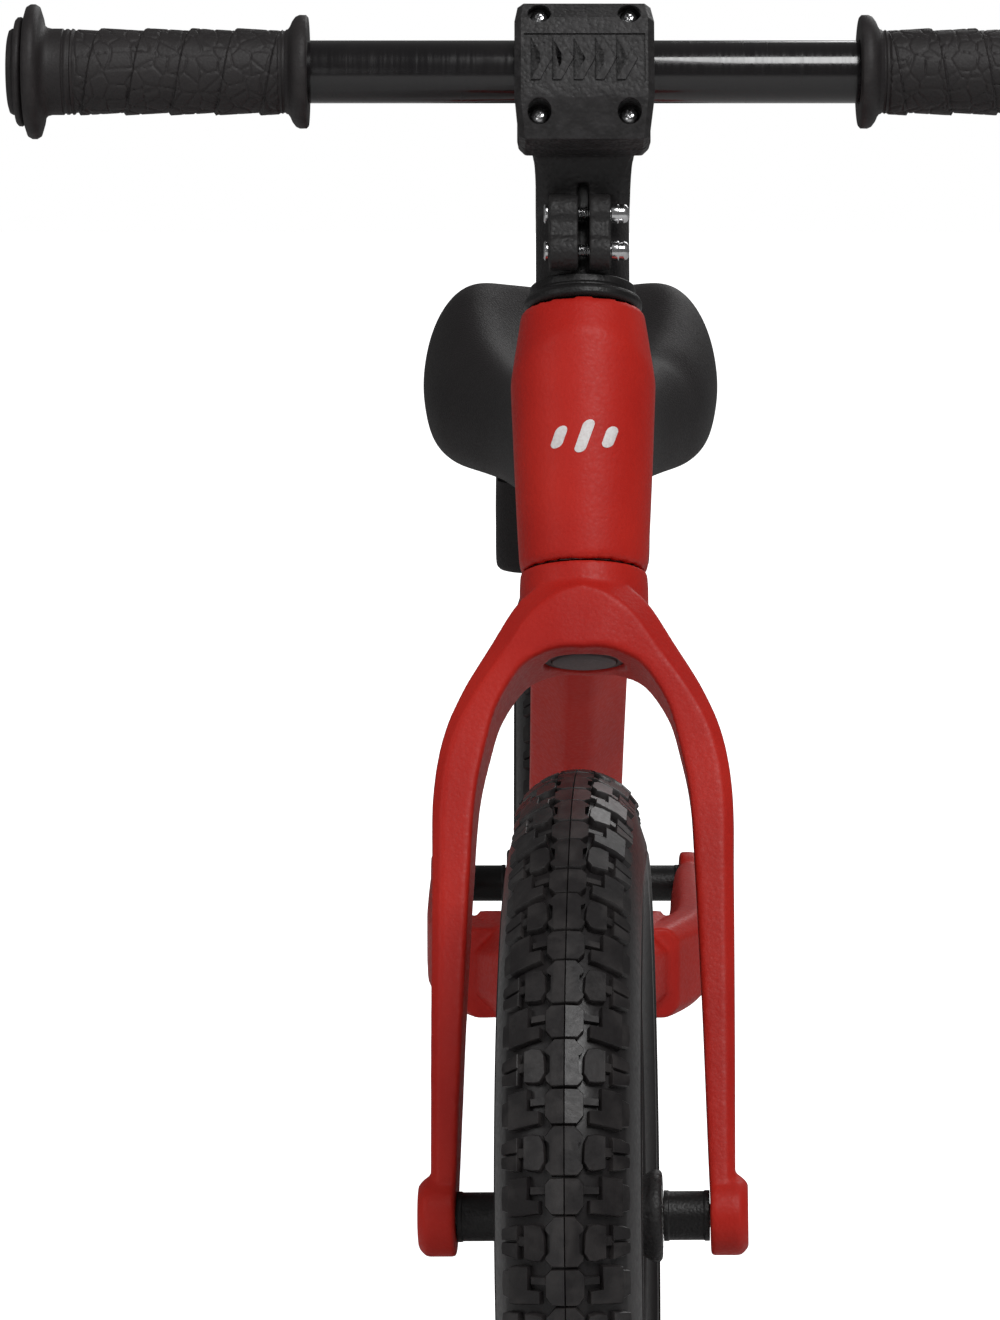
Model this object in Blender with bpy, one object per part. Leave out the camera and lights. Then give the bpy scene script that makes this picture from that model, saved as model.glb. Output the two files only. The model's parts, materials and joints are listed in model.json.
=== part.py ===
"""Child's balance bike: cast frame and fork, split-neck stem, straight bar, two knobbly wheels.

Metres, +Z up. The bike faces -Y and +X is on the right of someone standing in front of it.
The origin is on the ground, midway between the two axles.
"""
import math

import bmesh
import bpy
from mathutils import Matrix, Vector

MM = 0.001
FIT = 0.3  # clearance between touching pieces, mm

# Wheels
WHEEL_RADIUS = 152.0
WHEELBASE = 560.0
TYRE_HALF = 23.5
BEAD_RADIUS = 102.0
RIM_HALF = 17.8
FLANGE_RADIUS = 107.0
RIM_INNER_RADIUS = 91.0
SPOKES = 6
HUB_HALF = 27.0
HUB_FLANGE_RADIUS = 15.7
HUB_WAIST_RADIUS = 13.6
BEARING_RADIUS = 11.0
BEARING_WIDTH = 7.0
AXLE_RADIUS = 3.95
AXLE_BORE = 2.7
BOLT_SHANK = 2.4
BOLT_HEAD = 7.0
BOLT_POCKET = 7.8  # round pocket that takes the bolt head in a lug
BOLT_SINK = 3.6
SPACER_RADIUS = 8.6
WHEEL_STEPS = 40

# Steering geometry: the steering frame has its Z up the steering axis and its Y towards the rider
STEER_TILT = math.radians(21.5)
STEER_FOOT = Vector((0.0, -253.9, 141.7))
STEER_REST = math.radians(-3.3)
FORK_OFFSET = 28.0
LUG_INNER = 43.2
LUG_OUTER = 56.0
LUG_RADIUS = 13.5
HEAD_LOW = 232.0
HEAD_HIGH = 329.0
STEERER_RADIUS = 14.3
STEERER_BORE = 12.0
HEAD_BORE = 17.0
HEADSET_RADIUS = 19.5
HEADSET_WIDTH = 7.0
COLLAR_HIGH = 338.6

# Stem, bar and grips
NECK_RADIUS = 17.0
NECK_HIGH = 388.0
REACH = 35.0
BAR_HEIGHT = 408.5
BAR_RADIUS = 11.2
BAR_HALF = 202.4
STEM_HALF = 24.9
SCREW_X = 16.0
CLAMP_MIDDLE = 406.7  # height of the face plate's screw pattern
CLAMP_LOW = 379.2
CLAMP_TOP = 430.4
SCREW_RISE = 18.3
SCREW_HOLE = 2.7
SCREW_POCKET = 4.6
PINCH_FORWARD = 20.5
PINCH_HEIGHTS = (346.0, 360.0)
PINCH_HOLE = 2.8
SLOT_HALF = 2.0
SLOT_MIDDLE = 353.0
SLOT_RISE = 18.5
GRIP_START = 98.6
GRIP_END = 206.0
GRIP_RADIUS = 15.3

# Rear of the frame and the saddle
DROPOUT_INNER = 53.0
DROPOUT_OUTER = 62.0
DROPOUT_RADIUS = 14.6
SEAT_LEAN = math.radians(14.0)
SEAT_FOOT = Vector((0.0, 78.0, 150.0))
SEAT_TUBE_RADIUS = 17.0
SEAT_TUBE_HIGH = 150.0
CLAMP_FOOT = 135.0  # lower edge of the seat clamp
POST_RADIUS = 13.6
POST_LOW = 40.0
POST_HIGH = 205.0

for old in list(bpy.data.objects):
    bpy.data.objects.remove(old, do_unlink=True)


def finish_mesh(name, bm):
    """Turn a bmesh in millimetres into an object in metres, normals outward."""
    bmesh.ops.remove_doubles(bm, verts=bm.verts, dist=0.0005)
    bmesh.ops.recalc_face_normals(bm, faces=bm.faces)
    bmesh.ops.scale(bm, vec=(MM, MM, MM), verts=bm.verts)
    mesh = bpy.data.meshes.new(name)
    bm.to_mesh(mesh)
    bm.free()
    obj = bpy.data.objects.new(name, mesh)
    bpy.context.collection.objects.link(obj)
    return obj


def turn(name, profile, steps=32, frame=None, start=0.0):
    """Turn a closed (radius, height) outline about Z, then carry it into frame."""
    bm = bmesh.new()
    rings = []
    for index in range(steps):
        angle = start + 2.0 * math.pi * index / steps
        ring = []
        for radius, height in profile:
            ring.append(bm.verts.new((radius * math.cos(angle), radius * math.sin(angle), height)))
        rings.append(ring)
    count = len(profile)
    for index in range(steps):
        here = rings[index]
        following = rings[(index + 1) % steps]
        for side in range(count):
            after = (side + 1) % count
            if profile[side][0] == 0.0 and profile[after][0] == 0.0:
                continue
            bm.faces.new((here[side], following[side], following[after], here[after]))
    bmesh.ops.remove_doubles(bm, verts=bm.verts, dist=0.0005)
    bmesh.ops.dissolve_degenerate(bm, dist=0.0005, edges=bm.edges)
    if frame is not None:
        bmesh.ops.transform(bm, matrix=frame, verts=bm.verts)
    return finish_mesh(name, bm)


def loft(name, rings, frame=None):
    """Skin a list of rings of points and close both ends."""
    bm = bmesh.new()
    made = [[bm.verts.new(point) for point in ring] for ring in rings]
    count = len(made[0])
    for here, following in zip(made, made[1:]):
        for side in range(count):
            after = (side + 1) % count
            bm.faces.new((here[side], here[after], following[after], following[side]))
    bm.faces.new(made[0])
    bm.faces.new(list(reversed(made[-1])))
    if frame is not None:
        bmesh.ops.transform(bm, matrix=frame, verts=bm.verts)
    return finish_mesh(name, bm)


def octagon(centre, side, up, half_side, half_up, cut):
    """Ring of a rectangle with cut corners, spanned by two unit directions."""
    centre = Vector(centre)
    side = Vector(side)
    up = Vector(up)
    inner_side = half_side - cut
    inner_up = half_up - cut
    corners = (
        (half_side, inner_up), (inner_side, half_up), (-inner_side, half_up), (-half_side, inner_up),
        (-half_side, -inner_up), (-inner_side, -half_up), (inner_side, -half_up), (half_side, -inner_up),
    )
    return [centre + side * across + up * along for across, along in corners]


def combine(target, tool, operation):
    """Add or cut one solid with another and keep the result as plain mesh."""
    tool.hide_render = True
    tool.display_type = 'WIRE'
    change = target.modifiers.new("combine", 'BOOLEAN')
    change.solver = 'EXACT'
    change.operation = operation
    change.object = tool
    bpy.context.view_layer.update()
    evaluated = target.evaluated_get(bpy.context.evaluated_depsgraph_get())
    mesh = bpy.data.meshes.new_from_object(evaluated)
    target.modifiers.clear()
    target.data = mesh
    bpy.data.objects.remove(tool, do_unlink=True)
    return target


def along_x(offset=(0.0, 0.0, 0.0)):
    """Frame whose Z is the world X, moved to offset."""
    return Matrix.Translation(Vector(offset)) @ Matrix.Rotation(math.pi / 2.0, 4, 'Y')


def rod(name, radius, low, high, steps=24, frame=None):
    outline = ((0.0, low), (radius, low), (radius, high), (0.0, high))
    return turn(name, outline, steps, frame)


def sleeve(name, outer, inner, low, high, steps=24, frame=None):
    outline = ((inner, low), (outer, low), (outer, high), (inner, high))
    return turn(name, outline, steps, frame)


# Frames of reference in millimetres
HEAD = Matrix.Translation(STEER_FOOT) @ Matrix.Rotation(-STEER_TILT, 4, 'X')
STEERED = HEAD @ Matrix.Rotation(STEER_REST, 4, 'Z')
FRONT_AXLE = STEERED @ Matrix.Translation((0.0, -FORK_OFFSET, 0.0))
REAR_AXLE = Matrix.Translation((0.0, WHEELBASE / 2.0, WHEEL_RADIUS))
SEAT = Matrix.Translation(SEAT_FOOT) @ Matrix.Rotation(-SEAT_LEAN, 4, 'X')


def metres(frame):
    """The same frame with its position in metres."""
    result = frame.copy()
    result.translation = frame.translation * MM
    return result


def pivot(name, frame):
    """Empty on a joint axis."""
    empty = bpy.data.objects.new(name, None)
    empty.empty_display_size = 0.05
    empty.matrix_world = metres(frame)
    bpy.context.collection.objects.link(empty)
    return empty


STEER_PIVOT = pivot("pivot_steering", STEERED)
STEM_PIVOT = pivot("pivot_stem", HEAD)
BAR_PIVOT = pivot("pivot_bar", HEAD @ Matrix.Translation((0.0, -REACH, BAR_HEIGHT)))
FRONT_PIVOT = pivot("pivot_front_wheel", FRONT_AXLE)
REAR_PIVOT = pivot("pivot_rear_wheel", REAR_AXLE)
SEAT_PIVOT = pivot("pivot_seat", SEAT)

LOOKS = {
    "red_coat": ((0.42, 0.012, 0.012, 1.0), 0.0, 0.42),
    "black_plastic": ((0.022, 0.021, 0.022, 1.0), 0.0, 0.55),
    "tyre_rubber": ((0.028, 0.026, 0.027, 1.0), 0.0, 0.8),
    "grip_rubber": ((0.024, 0.022, 0.022, 1.0), 0.0, 0.75),
    "saddle_skin": ((0.03, 0.028, 0.029, 1.0), 0.0, 0.6),
    "black_gloss": ((0.01, 0.009, 0.01, 1.0), 0.0, 0.15),
    "chrome": ((0.75, 0.75, 0.76, 1.0), 1.0, 0.12),
    "steel": ((0.5, 0.5, 0.5, 1.0), 1.0, 0.35),
}


def dress(obj, look, parent=None):
    """Give a piece its own material, smooth shading and its place in the assembly."""
    colour, metallic, roughness = LOOKS[look]
    material = bpy.data.materials.new(obj.name + "_" + look)
    material.use_nodes = True
    shader = material.node_tree.nodes["Principled BSDF"]
    shader.inputs["Base Color"].default_value = colour
    shader.inputs["Metallic"].default_value = metallic
    shader.inputs["Roughness"].default_value = roughness
    material.diffuse_color = colour
    obj.data.materials.clear()
    obj.data.materials.append(material)
    obj.data.shade_smooth()
    obj.data.set_sharp_from_angle(angle=math.radians(35.0))
    if parent is not None:
        obj.parent = parent
    return obj


# ---------------------------------------------------------------- wheels
def make_wheel(end, parent, lug_inner, lug_outer, fixed_parent):
    """One wheel about its axle, with the fixed axle parts between the two lugs."""
    spin = along_x()
    bead = BEAD_RADIUS + FIT
    outer = [(bead, 14.9), (108.0, 15.5), (119.0, 22.6), (131.0, TYRE_HALF), (146.5, 16.5)]
    inner = [(bead, 12.0), (108.5, 12.4), (120.0, 19.4), (130.0, 20.0), (143.0, 13.0)]
    profile = [(radius, across) for radius, across in outer]
    profile.append((WHEEL_RADIUS, 0.0))
    profile.extend((radius, -across) for radius, across in reversed(outer))
    profile.extend((radius, -across) for radius, across in inner)
    profile.append((147.5, 0.0))
    profile.extend((radius, across) for radius, across in reversed(inner))
    dress(turn("tyre_" + end, profile, WHEEL_STEPS, spin), "tyre_rubber", parent)

    profile = [(104.0, 4.0), (105.5, 10.2), (124.0, 17.2), (139.0, 12.8), (144.6, 0.0)]
    profile.extend([(139.0, -12.8), (124.0, -17.2), (105.5, -10.2), (104.0, -4.0)])
    profile.extend([(106.0, -4.0), (107.2, -9.0), (124.0, -15.2), (137.6, -11.2), (142.6, 0.0)])
    profile.extend([(137.6, 11.2), (124.0, 15.2), (107.2, 9.0), (106.0, 4.0)])
    dress(turn("inner_tube_" + end, profile, 20, spin), "tyre_rubber", parent)

    seat = BEAD_RADIUS - 0.5
    rim_outline = [
        (FLANGE_RADIUS, RIM_HALF), (FLANGE_RADIUS, 16.0), (seat, 15.3), (97.5, 10.0),
        (97.5, -10.0), (seat, -15.3), (FLANGE_RADIUS, -16.0), (FLANGE_RADIUS, -RIM_HALF),
        (99.0, -17.3), (RIM_INNER_RADIUS, -9.5), (RIM_INNER_RADIUS, 9.5), (99.0, 17.3),
    ]
    wheel = turn("wheel_" + end, rim_outline, WHEEL_STEPS, spin)
    pocket = HUB_HALF - BEARING_WIDTH - 0.3
    hub_outline = [
        (BEARING_RADIUS + FIT, HUB_HALF), (HUB_FLANGE_RADIUS, HUB_HALF), (HUB_FLANGE_RADIUS, 23.5),
        (HUB_WAIST_RADIUS, 21.0), (HUB_WAIST_RADIUS, -21.0), (HUB_FLANGE_RADIUS, -23.5),
        (HUB_FLANGE_RADIUS, -HUB_HALF), (BEARING_RADIUS + FIT, -HUB_HALF), (BEARING_RADIUS + FIT, -pocket),
        (8.5, -pocket), (8.5, pocket), (BEARING_RADIUS + FIT, pocket),
    ]
    hub = turn("hub_blank", hub_outline, 30, spin)
    combine(wheel, hub, 'UNION')
    for index in range(SPOKES):
        angle = 2.0 * math.pi * index / SPOKES
        out = Vector((0.0, math.cos(angle), math.sin(angle)))
        flat = Vector((0.0, -math.sin(angle), math.cos(angle)))
        across = Vector((1.0, 0.0, 0.0))
        stations = ((11.8, 8.5, 13.0), (40.0, 6.0, 9.0), (78.0, 6.0, 7.5), (93.5, 9.5, 8.6))
        rings = [octagon(out * reach, across, flat, deep, wide, 2.0) for reach, wide, deep in stations]
        combine(wheel, loft("spoke_blank", rings), 'UNION')
    up = Matrix.Rotation(math.pi, 4, 'X')
    combine(wheel, rod("valve_hole", 4.4, 86.0, 103.0, 16, up), 'DIFFERENCE')
    dress(wheel, "black_plastic", parent)
    stem_outline = [(1.2, 76.0), (2.6, 76.0), (2.6, 86.0), (3.9, 87.0), (3.9, 100.0), (1.2, 100.0)]
    dress(turn("valve_" + end, stem_outline, 12, up), "black_gloss", parent)

    for side, label in ((-1.0, "left"), (1.0, "right")):
        face = HUB_HALF - 0.3
        near, far = sorted((side * face, side * (face - BEARING_WIDTH + 0.3)))
        place = end + "_" + label
        bearing = sleeve("bearing_" + place, BEARING_RADIUS, AXLE_RADIUS + FIT, near, far, 24, spin)
        dress(bearing, "steel", parent)
        near, far = sorted((side * (HUB_HALF + FIT), side * (lug_inner - FIT)))
        spacer = sleeve("spacer_" + place, SPACER_RADIUS, AXLE_RADIUS + FIT, near, far, 24, spin)
        dress(spacer, "black_plastic", fixed_parent)
        head = lug_outer - BOLT_SINK + FIT
        bolt_outline = [
            (0.0, lug_outer - 17.0), (BOLT_SHANK, lug_outer - 17.0), (BOLT_SHANK, head), (BOLT_HEAD, head),
            (BOLT_HEAD, head + 1.6), (5.6, head + 3.2), (2.6, head + 3.2), (2.6, head + 1.0),
            (0.0, head + 1.0),
        ]
        flip = spin if side > 0.0 else spin @ Matrix.Rotation(math.pi, 4, 'X')
        dress(turn("axle_bolt_" + place, bolt_outline, 12, flip), "steel", fixed_parent)
    inner_half = HUB_HALF - BEARING_WIDTH - 0.6
    core = sleeve("sleeve_" + end, 5.6, AXLE_RADIUS + FIT, -inner_half, inner_half, 18, spin)
    dress(core, "steel", fixed_parent)
    tube_half = lug_outer - BOLT_SINK - 1.0
    axle = sleeve("axle_" + end, AXLE_RADIUS, AXLE_BORE, -tube_half, tube_half, 18, spin)
    dress(axle, "steel", fixed_parent)


FRONT_FIXED = pivot("pivot_front_axle", FRONT_AXLE)
REAR_FIXED = pivot("pivot_rear_axle", REAR_AXLE)
make_wheel("front", FRONT_PIVOT, LUG_INNER, LUG_OUTER, FRONT_FIXED)
make_wheel("rear", REAR_PIVOT, DROPOUT_INNER, DROPOUT_OUTER, REAR_FIXED)

# ---------------------------------------------------------------- fork, in the steering frame
ACROSS = Vector((1.0, 0.0, 0.0))
BACK = Vector((0.0, 1.0, 0.0))


def axle_cutter(lug_outer, frame):
    """Stepped tool for the axle hole and the bolt pockets in both lugs."""
    seat = lug_outer - BOLT_SINK
    beyond = lug_outer + 12.0
    hole = AXLE_RADIUS + FIT
    outline = (
        (0.0, -beyond), (BOLT_POCKET, -beyond), (BOLT_POCKET, -seat), (hole, -seat),
        (hole, seat), (BOLT_POCKET, seat), (BOLT_POCKET, beyond), (0.0, beyond),
    )
    return turn("axle_cutter", outline, 20, frame, math.pi / 20.0)


def leg_ring(side, outer, inner, forward, half_deep):
    """Cut-corner section of a leg between its outer and inner edge points (x, height)."""
    outer_point = Vector((side * outer[0], -forward, outer[1]))
    inner_point = Vector((side * inner[0], -forward, inner[1]))
    span = outer_point - inner_point
    return octagon((outer_point + inner_point) / 2.0, span.normalized(), BACK,
                   span.length / 2.0, half_deep, min(span.length, half_deep) * 0.28)


crown_outline = [
    (0.0, 198.6), (19.0, 198.6), (22.7, 202.0), (23.2, 218.0), (22.7, HEAD_LOW - FIT), (0.0, HEAD_LOW - FIT),
]
fork = turn("fork", crown_outline, 28)
for side in (-1.0, 1.0):
    sections = [
        leg_ring(side, (3.0, 231.0), (-3.0, 203.0), 1.0, 20.5),
        leg_ring(side, (24.6, 224.0), (8.0, 199.6), 1.5, 20.0),
        leg_ring(side, (35.2, 204.2), (20.5, 194.5), 3.0, 18.0),
        leg_ring(side, (44.4, 186.7), (29.2, 181.0), 5.0, 16.0),
        leg_ring(side, (50.0, 169.2), (33.4, 166.5), 7.5, 14.6),
        leg_ring(side, (52.3, 147.3), (37.2, 147.0), 10.5, 13.6),
        leg_ring(side, (52.4, 120.0), (38.9, 120.0), 14.0, 12.8),
        leg_ring(side, (51.8, 20.0), (42.6, 20.0), 25.6, 11.0),
        leg_ring(side, (51.6, 0.0), (43.6, 0.0), FORK_OFFSET, 10.6),
    ]
    combine(fork, loft("leg_blank", sections), 'UNION')
    near, far = sorted((side * LUG_INNER, side * LUG_OUTER))
    lug_frame = Matrix.Translation((0.0, -FORK_OFFSET, 0.0)) @ along_x()
    if side > 0.0:
        lug_outline = [(0.0, near), (LUG_RADIUS, near), (LUG_RADIUS, far - 2.5), (LUG_RADIUS - 2.5, far)]
    else:
        lug_outline = [(0.0, near), (LUG_RADIUS - 2.5, near), (LUG_RADIUS, near + 2.5), (LUG_RADIUS, far)]
    lug_outline.append((0.0, far))
    combine(fork, turn("lug_blank", lug_outline, 24, lug_frame), 'UNION')
steerer_hole = rod("steerer_hole", STEERER_RADIUS + FIT, 190.0, 240.0, 28)
combine(fork, steerer_hole, 'DIFFERENCE')
axle_frame = Matrix.Translation((0.0, -FORK_OFFSET, 0.0)) @ along_x()
combine(fork, axle_cutter(LUG_OUTER, axle_frame), 'DIFFERENCE')
dress(fork, "red_coat", STEER_PIVOT)

STEERER_LOW = 199.6
STEERER_HIGH = 386.0
steerer = sleeve("steerer_tube", STEERER_RADIUS, STEERER_BORE, STEERER_LOW, STEERER_HIGH, 28)
dress(steerer, "steel", STEER_PIVOT)
plug_outline = [
    (0.0, STEERER_LOW - 1.2), (10.5, STEERER_LOW - 1.2), (11.6, STEERER_LOW),
    (STEERER_BORE - FIT, STEERER_LOW + 0.8), (STEERER_BORE - FIT, STEERER_LOW + 12.0), (0.0, STEERER_LOW + 12.0),
]
dress(turn("steerer_plug", plug_outline, 24), "black_plastic", STEER_PIVOT)
collar_outline = [
    (STEERER_RADIUS + FIT, HEAD_HIGH + FIT), (20.4, HEAD_HIGH + FIT), (21.5, HEAD_HIGH + 1.6),
    (21.5, HEAD_HIGH + 4.4), (19.4, HEAD_HIGH + 6.0), (18.6, COLLAR_HIGH), (STEERER_RADIUS + FIT, COLLAR_HIGH),
]
dress(turn("headset_collar", collar_outline, 28), "black_plastic", STEER_PIVOT)

# ---------------------------------------------------------------- frame casting, in world axes
head_outline = [
    (0.0, HEAD_LOW), (22.3, HEAD_LOW), (22.9, HEAD_LOW + 2.0), (24.4, HEAD_LOW + 38.0), (26.2, HEAD_LOW + 68.0),
    (25.4, HEAD_LOW + 82.0), (22.6, HEAD_HIGH - 3.0), (21.6, HEAD_HIGH), (0.0, HEAD_HIGH),
]
frame_casting = turn("frame", head_outline, 28, HEAD)
UP = Vector((0.0, 0.0, 1.0))
slope = Vector((0.0, 1.0, -0.87)).normalized()
rise = Vector((0.0, 0.87, 1.0)).normalized()


def keel(along, half_wide, above, below, flat):
    """Down-tube section: a narrow flat keel underneath, full width at the middle."""
    centre = Vector((0.0, -148.0, 374.0)) + slope * along
    outline = (
        (half_wide, 2.0), (half_wide * 0.55, above), (-half_wide * 0.55, above), (-half_wide, 2.0),
        (-half_wide, below * -0.35), (-flat, -below), (flat, -below), (half_wide, below * -0.35),
    )
    return [centre + ACROSS * across + rise * height for across, height in outline]


tube_rings = [
    keel(6.0, 17.2, 24.0, 17.0, 5.0), keel(60.0, 18.25, 21.0, 19.0, 4.8),
    keel(170.0, 18.25, 19.0, 19.0, 4.8), keel(290.0, 20.0, 19.0, 20.0, 6.0),
]
combine(frame_casting, loft("down_tube_blank", tube_rings), 'UNION')
yoke_rings = [
    octagon((0.0, 30.0, 171.0), ACROSS, UP, 15.0, 17.0, 6.0),
    octagon((0.0, 66.0, 157.0), ACROSS, UP, 36.0, 23.0, 8.0),
    octagon((0.0, 96.0, 154.5), ACROSS, UP, 46.0, 24.0, 8.0),
    octagon((0.0, 114.0, 153.5), ACROSS, UP, 48.0, 22.0, 8.0),
]
combine(frame_casting, loft("yoke_blank", yoke_rings), 'UNION')
seat_rings = [(0.0, 4.0), (SEAT_TUBE_RADIUS, 4.0), (SEAT_TUBE_RADIUS, SEAT_TUBE_HIGH), (0.0, SEAT_TUBE_HIGH)]
combine(frame_casting, turn("seat_tube_blank", seat_rings, 24, SEAT), 'UNION')
half_base = WHEELBASE / 2.0
for side in (-1.0, 1.0):
    stay_rings = [
        octagon((side * 37.0, 88.0, 153.0), ACROSS, UP, 8.6, 21.0, 4.0),
        octagon((side * 49.0, 118.0, 152.6), ACROSS, UP, 8.0, 18.0, 4.0),
        octagon((side * 54.8, 150.0, 152.2), ACROSS, UP, 5.4, 13.2, 3.0),
        octagon((side * 56.8, 200.0, 152.0), ACROSS, UP, 4.2, 11.4, 2.4),
        octagon((side * 57.2, half_base - 4.0, 152.0), ACROSS, UP, 3.9, 11.0, 2.2),
    ]
    combine(frame_casting, loft("stay_blank", stay_rings), 'UNION')
    near, far = sorted((side * DROPOUT_INNER, side * DROPOUT_OUTER))
    combine(frame_casting, rod("dropout_blank", DROPOUT_RADIUS, near, far, 22, REAR_AXLE @ along_x()), 'UNION')
pocket_deep = HEADSET_WIDTH + 1.0
bore_outline = [
    (0.0, HEAD_LOW - 5.0), (HEADSET_RADIUS + FIT, HEAD_LOW - 5.0), (HEADSET_RADIUS + FIT, HEAD_LOW + pocket_deep),
    (HEAD_BORE, HEAD_LOW + pocket_deep), (HEAD_BORE, HEAD_HIGH - pocket_deep),
    (HEADSET_RADIUS + FIT, HEAD_HIGH - pocket_deep), (HEADSET_RADIUS + FIT, HEAD_HIGH + 5.0), (0.0, HEAD_HIGH + 5.0),
]
combine(frame_casting, turn("head_bore", bore_outline, 28, HEAD, math.pi / 28.0), 'DIFFERENCE')
combine(frame_casting, axle_cutter(DROPOUT_OUTER, REAR_AXLE @ along_x()), 'DIFFERENCE')
post_hole = rod("post_hole", POST_RADIUS + FIT, 28.0, SEAT_TUBE_HIGH + 10.0, 24, SEAT)
combine(frame_casting, post_hole, 'DIFFERENCE')
dress(frame_casting, "red_coat")

for label, low in (("lower", HEAD_LOW + 0.4), ("upper", HEAD_HIGH - HEADSET_WIDTH - 0.4)):
    ring = sleeve("headset_bearing_" + label, HEADSET_RADIUS, STEERER_RADIUS + FIT, low, low + HEADSET_WIDTH, 28)
    dress(ring, "steel", STEM_PIVOT)

# ---------------------------------------------------------------- stem, in the head frame
stem = rod("stem", NECK_RADIUS, COLLAR_HIGH + FIT, NECK_HIGH, 28)
HEIGHT = Vector((0.0, 0.0, 1.0))
clamp_centre = (CLAMP_LOW + CLAMP_TOP) / 2.0
clamp_half = (CLAMP_TOP - CLAMP_LOW) / 2.0
block_rings = [
    octagon((0.0, 11.0, 372.0), ACROSS, HEIGHT, 11.0, 10.0, 4.0),
    octagon((0.0, -8.0, 379.0), ACROSS, HEIGHT, 17.2, 15.0, 4.0),
    octagon((0.0, -19.0, 394.0), ACROSS, HEIGHT, 18.4, 20.0, 4.0),
    octagon((0.0, -25.0, clamp_centre), ACROSS, HEIGHT, 21.0, clamp_half - 1.4, 3.0),
    octagon((0.0, -26.6, clamp_centre), ACROSS, HEIGHT, STEM_HALF, clamp_half, 3.0),
    octagon((0.0, -REACH + 0.2, clamp_centre), ACROSS, HEIGHT, STEM_HALF, clamp_half, 3.0),
]
combine(stem, loft("block_blank", block_rings), 'UNION')
for height in PINCH_HEIGHTS:
    lobe_frame = Matrix.Translation((0.0, -PINCH_FORWARD, height)) @ along_x()
    combine(stem, rod("lobe_blank", 6.9, -12.5, 9.6, 14, lobe_frame), 'UNION')
CAP_SEAT = 15.5
bore_steps = (
    (0.0, 330.0), (STEERER_RADIUS + FIT, 330.0), (STEERER_RADIUS + FIT, NECK_HIGH - FIT),
    (CAP_SEAT, NECK_HIGH - FIT), (CAP_SEAT, NECK_HIGH + 30.0), (0.0, NECK_HIGH + 30.0),
)
combine(stem, turn("steerer_bore", bore_steps, 28, None, math.pi / 28.0), 'DIFFERENCE')
BAR_FRAME = Matrix.Translation((0.0, -REACH, BAR_HEIGHT)) @ along_x()
combine(stem, rod("bar_bore", BAR_RADIUS + FIT, -40.0, 40.0, 24, BAR_FRAME), 'DIFFERENCE')
slot_rings = [
    octagon((0.0, -32.0, SLOT_MIDDLE), ACROSS, HEIGHT, SLOT_HALF, SLOT_RISE, 0.4),
    octagon((0.0, -8.0, SLOT_MIDDLE), ACROSS, HEIGHT, SLOT_HALF, SLOT_RISE, 0.4),
]
combine(stem, loft("slot_blank", slot_rings), 'DIFFERENCE')
for height in PINCH_HEIGHTS:
    lobe_frame = Matrix.Translation((0.0, -PINCH_FORWARD, height)) @ along_x()
    combine(stem, rod("pinch_hole", PINCH_HOLE, -20.0, 20.0, 10, lobe_frame), 'DIFFERENCE')

plate_outline = [
    (-REACH - 0.2, CLAMP_LOW), (-REACH - 0.2, CLAMP_TOP), (-46.6, CLAMP_TOP), (-52.5, 422.6), (-52.5, 393.0),
    (-46.0, CLAMP_LOW),
]
plate_rings = []
for across, shrink in ((-STEM_HALF, 0.93), (-STEM_HALF + 2.2, 1.0), (STEM_HALF - 2.2, 1.0), (STEM_HALF, 0.93)):
    ring = []
    for depth, height in plate_outline:
        ring.append(Vector((across, -REACH - 0.2 + (depth + REACH + 0.2) * shrink,
                            CLAMP_MIDDLE + (height - CLAMP_MIDDLE) * shrink)))
    plate_rings.append(ring)
plate = loft("stem_face_plate", plate_rings)
combine(plate, rod("bar_bore", BAR_RADIUS + FIT, -40.0, 40.0, 24, BAR_FRAME), 'DIFFERENCE')
FORWARD = Matrix.Rotation(math.pi / 2.0, 4, 'X')
corners = [(x, rise_z) for rise_z in (-SCREW_RISE, SCREW_RISE) for x in (-SCREW_X, SCREW_X)]
for number, (x, rise_z) in enumerate(corners, 1):
    screw_frame = Matrix.Translation((x, 0.0, CLAMP_MIDDLE + rise_z)) @ FORWARD
    combine(stem, rod("screw_hole", SCREW_HOLE, 23.0, 50.0, 10, screw_frame), 'DIFFERENCE')
    combine(plate, rod("screw_hole", SCREW_HOLE, 30.0, 60.0, 10, screw_frame), 'DIFFERENCE')
    combine(plate, rod("screw_pocket", SCREW_POCKET, 43.0, 60.0, 16, screw_frame), 'DIFFERENCE')
    screw_outline = [
        (0.0, 25.0), (2.4, 25.0), (2.4, 43.3), (3.6, 43.3), (3.6, 44.6), (2.6, 45.7), (0.0, 46.1),
    ]
    dress(turn("face_screw_" + str(number), screw_outline, 10, screw_frame), "chrome", STEM_PIVOT)
dress(stem, "black_plastic", STEM_PIVOT)
dress(plate, "black_plastic", STEM_PIVOT)
for number, height in enumerate(PINCH_HEIGHTS, 1):
    lobe_frame = Matrix.Translation((0.0, -PINCH_FORWARD, height)) @ along_x()
    bolt_outline = [
        (0.0, -14.4), (3.0, -14.4), (3.8, -13.8), (3.8, -12.8), (2.5, -12.8), (2.5, 12.4), (0.0, 12.4),
    ]
    dress(turn("pinch_bolt_" + str(number), bolt_outline, 12, lobe_frame), "chrome", STEM_PIVOT)
    nut_outline = [
        (2.8, 9.9), (3.8, 9.9), (3.8, 12.4), (3.5, 14.4), (2.3, 16.0), (0.0, 16.5),
        (0.0, 13.0), (2.8, 12.9),
    ]
    dress(turn("dome_nut_" + str(number), nut_outline, 12, lobe_frame), "chrome", STEM_PIVOT)
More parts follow.
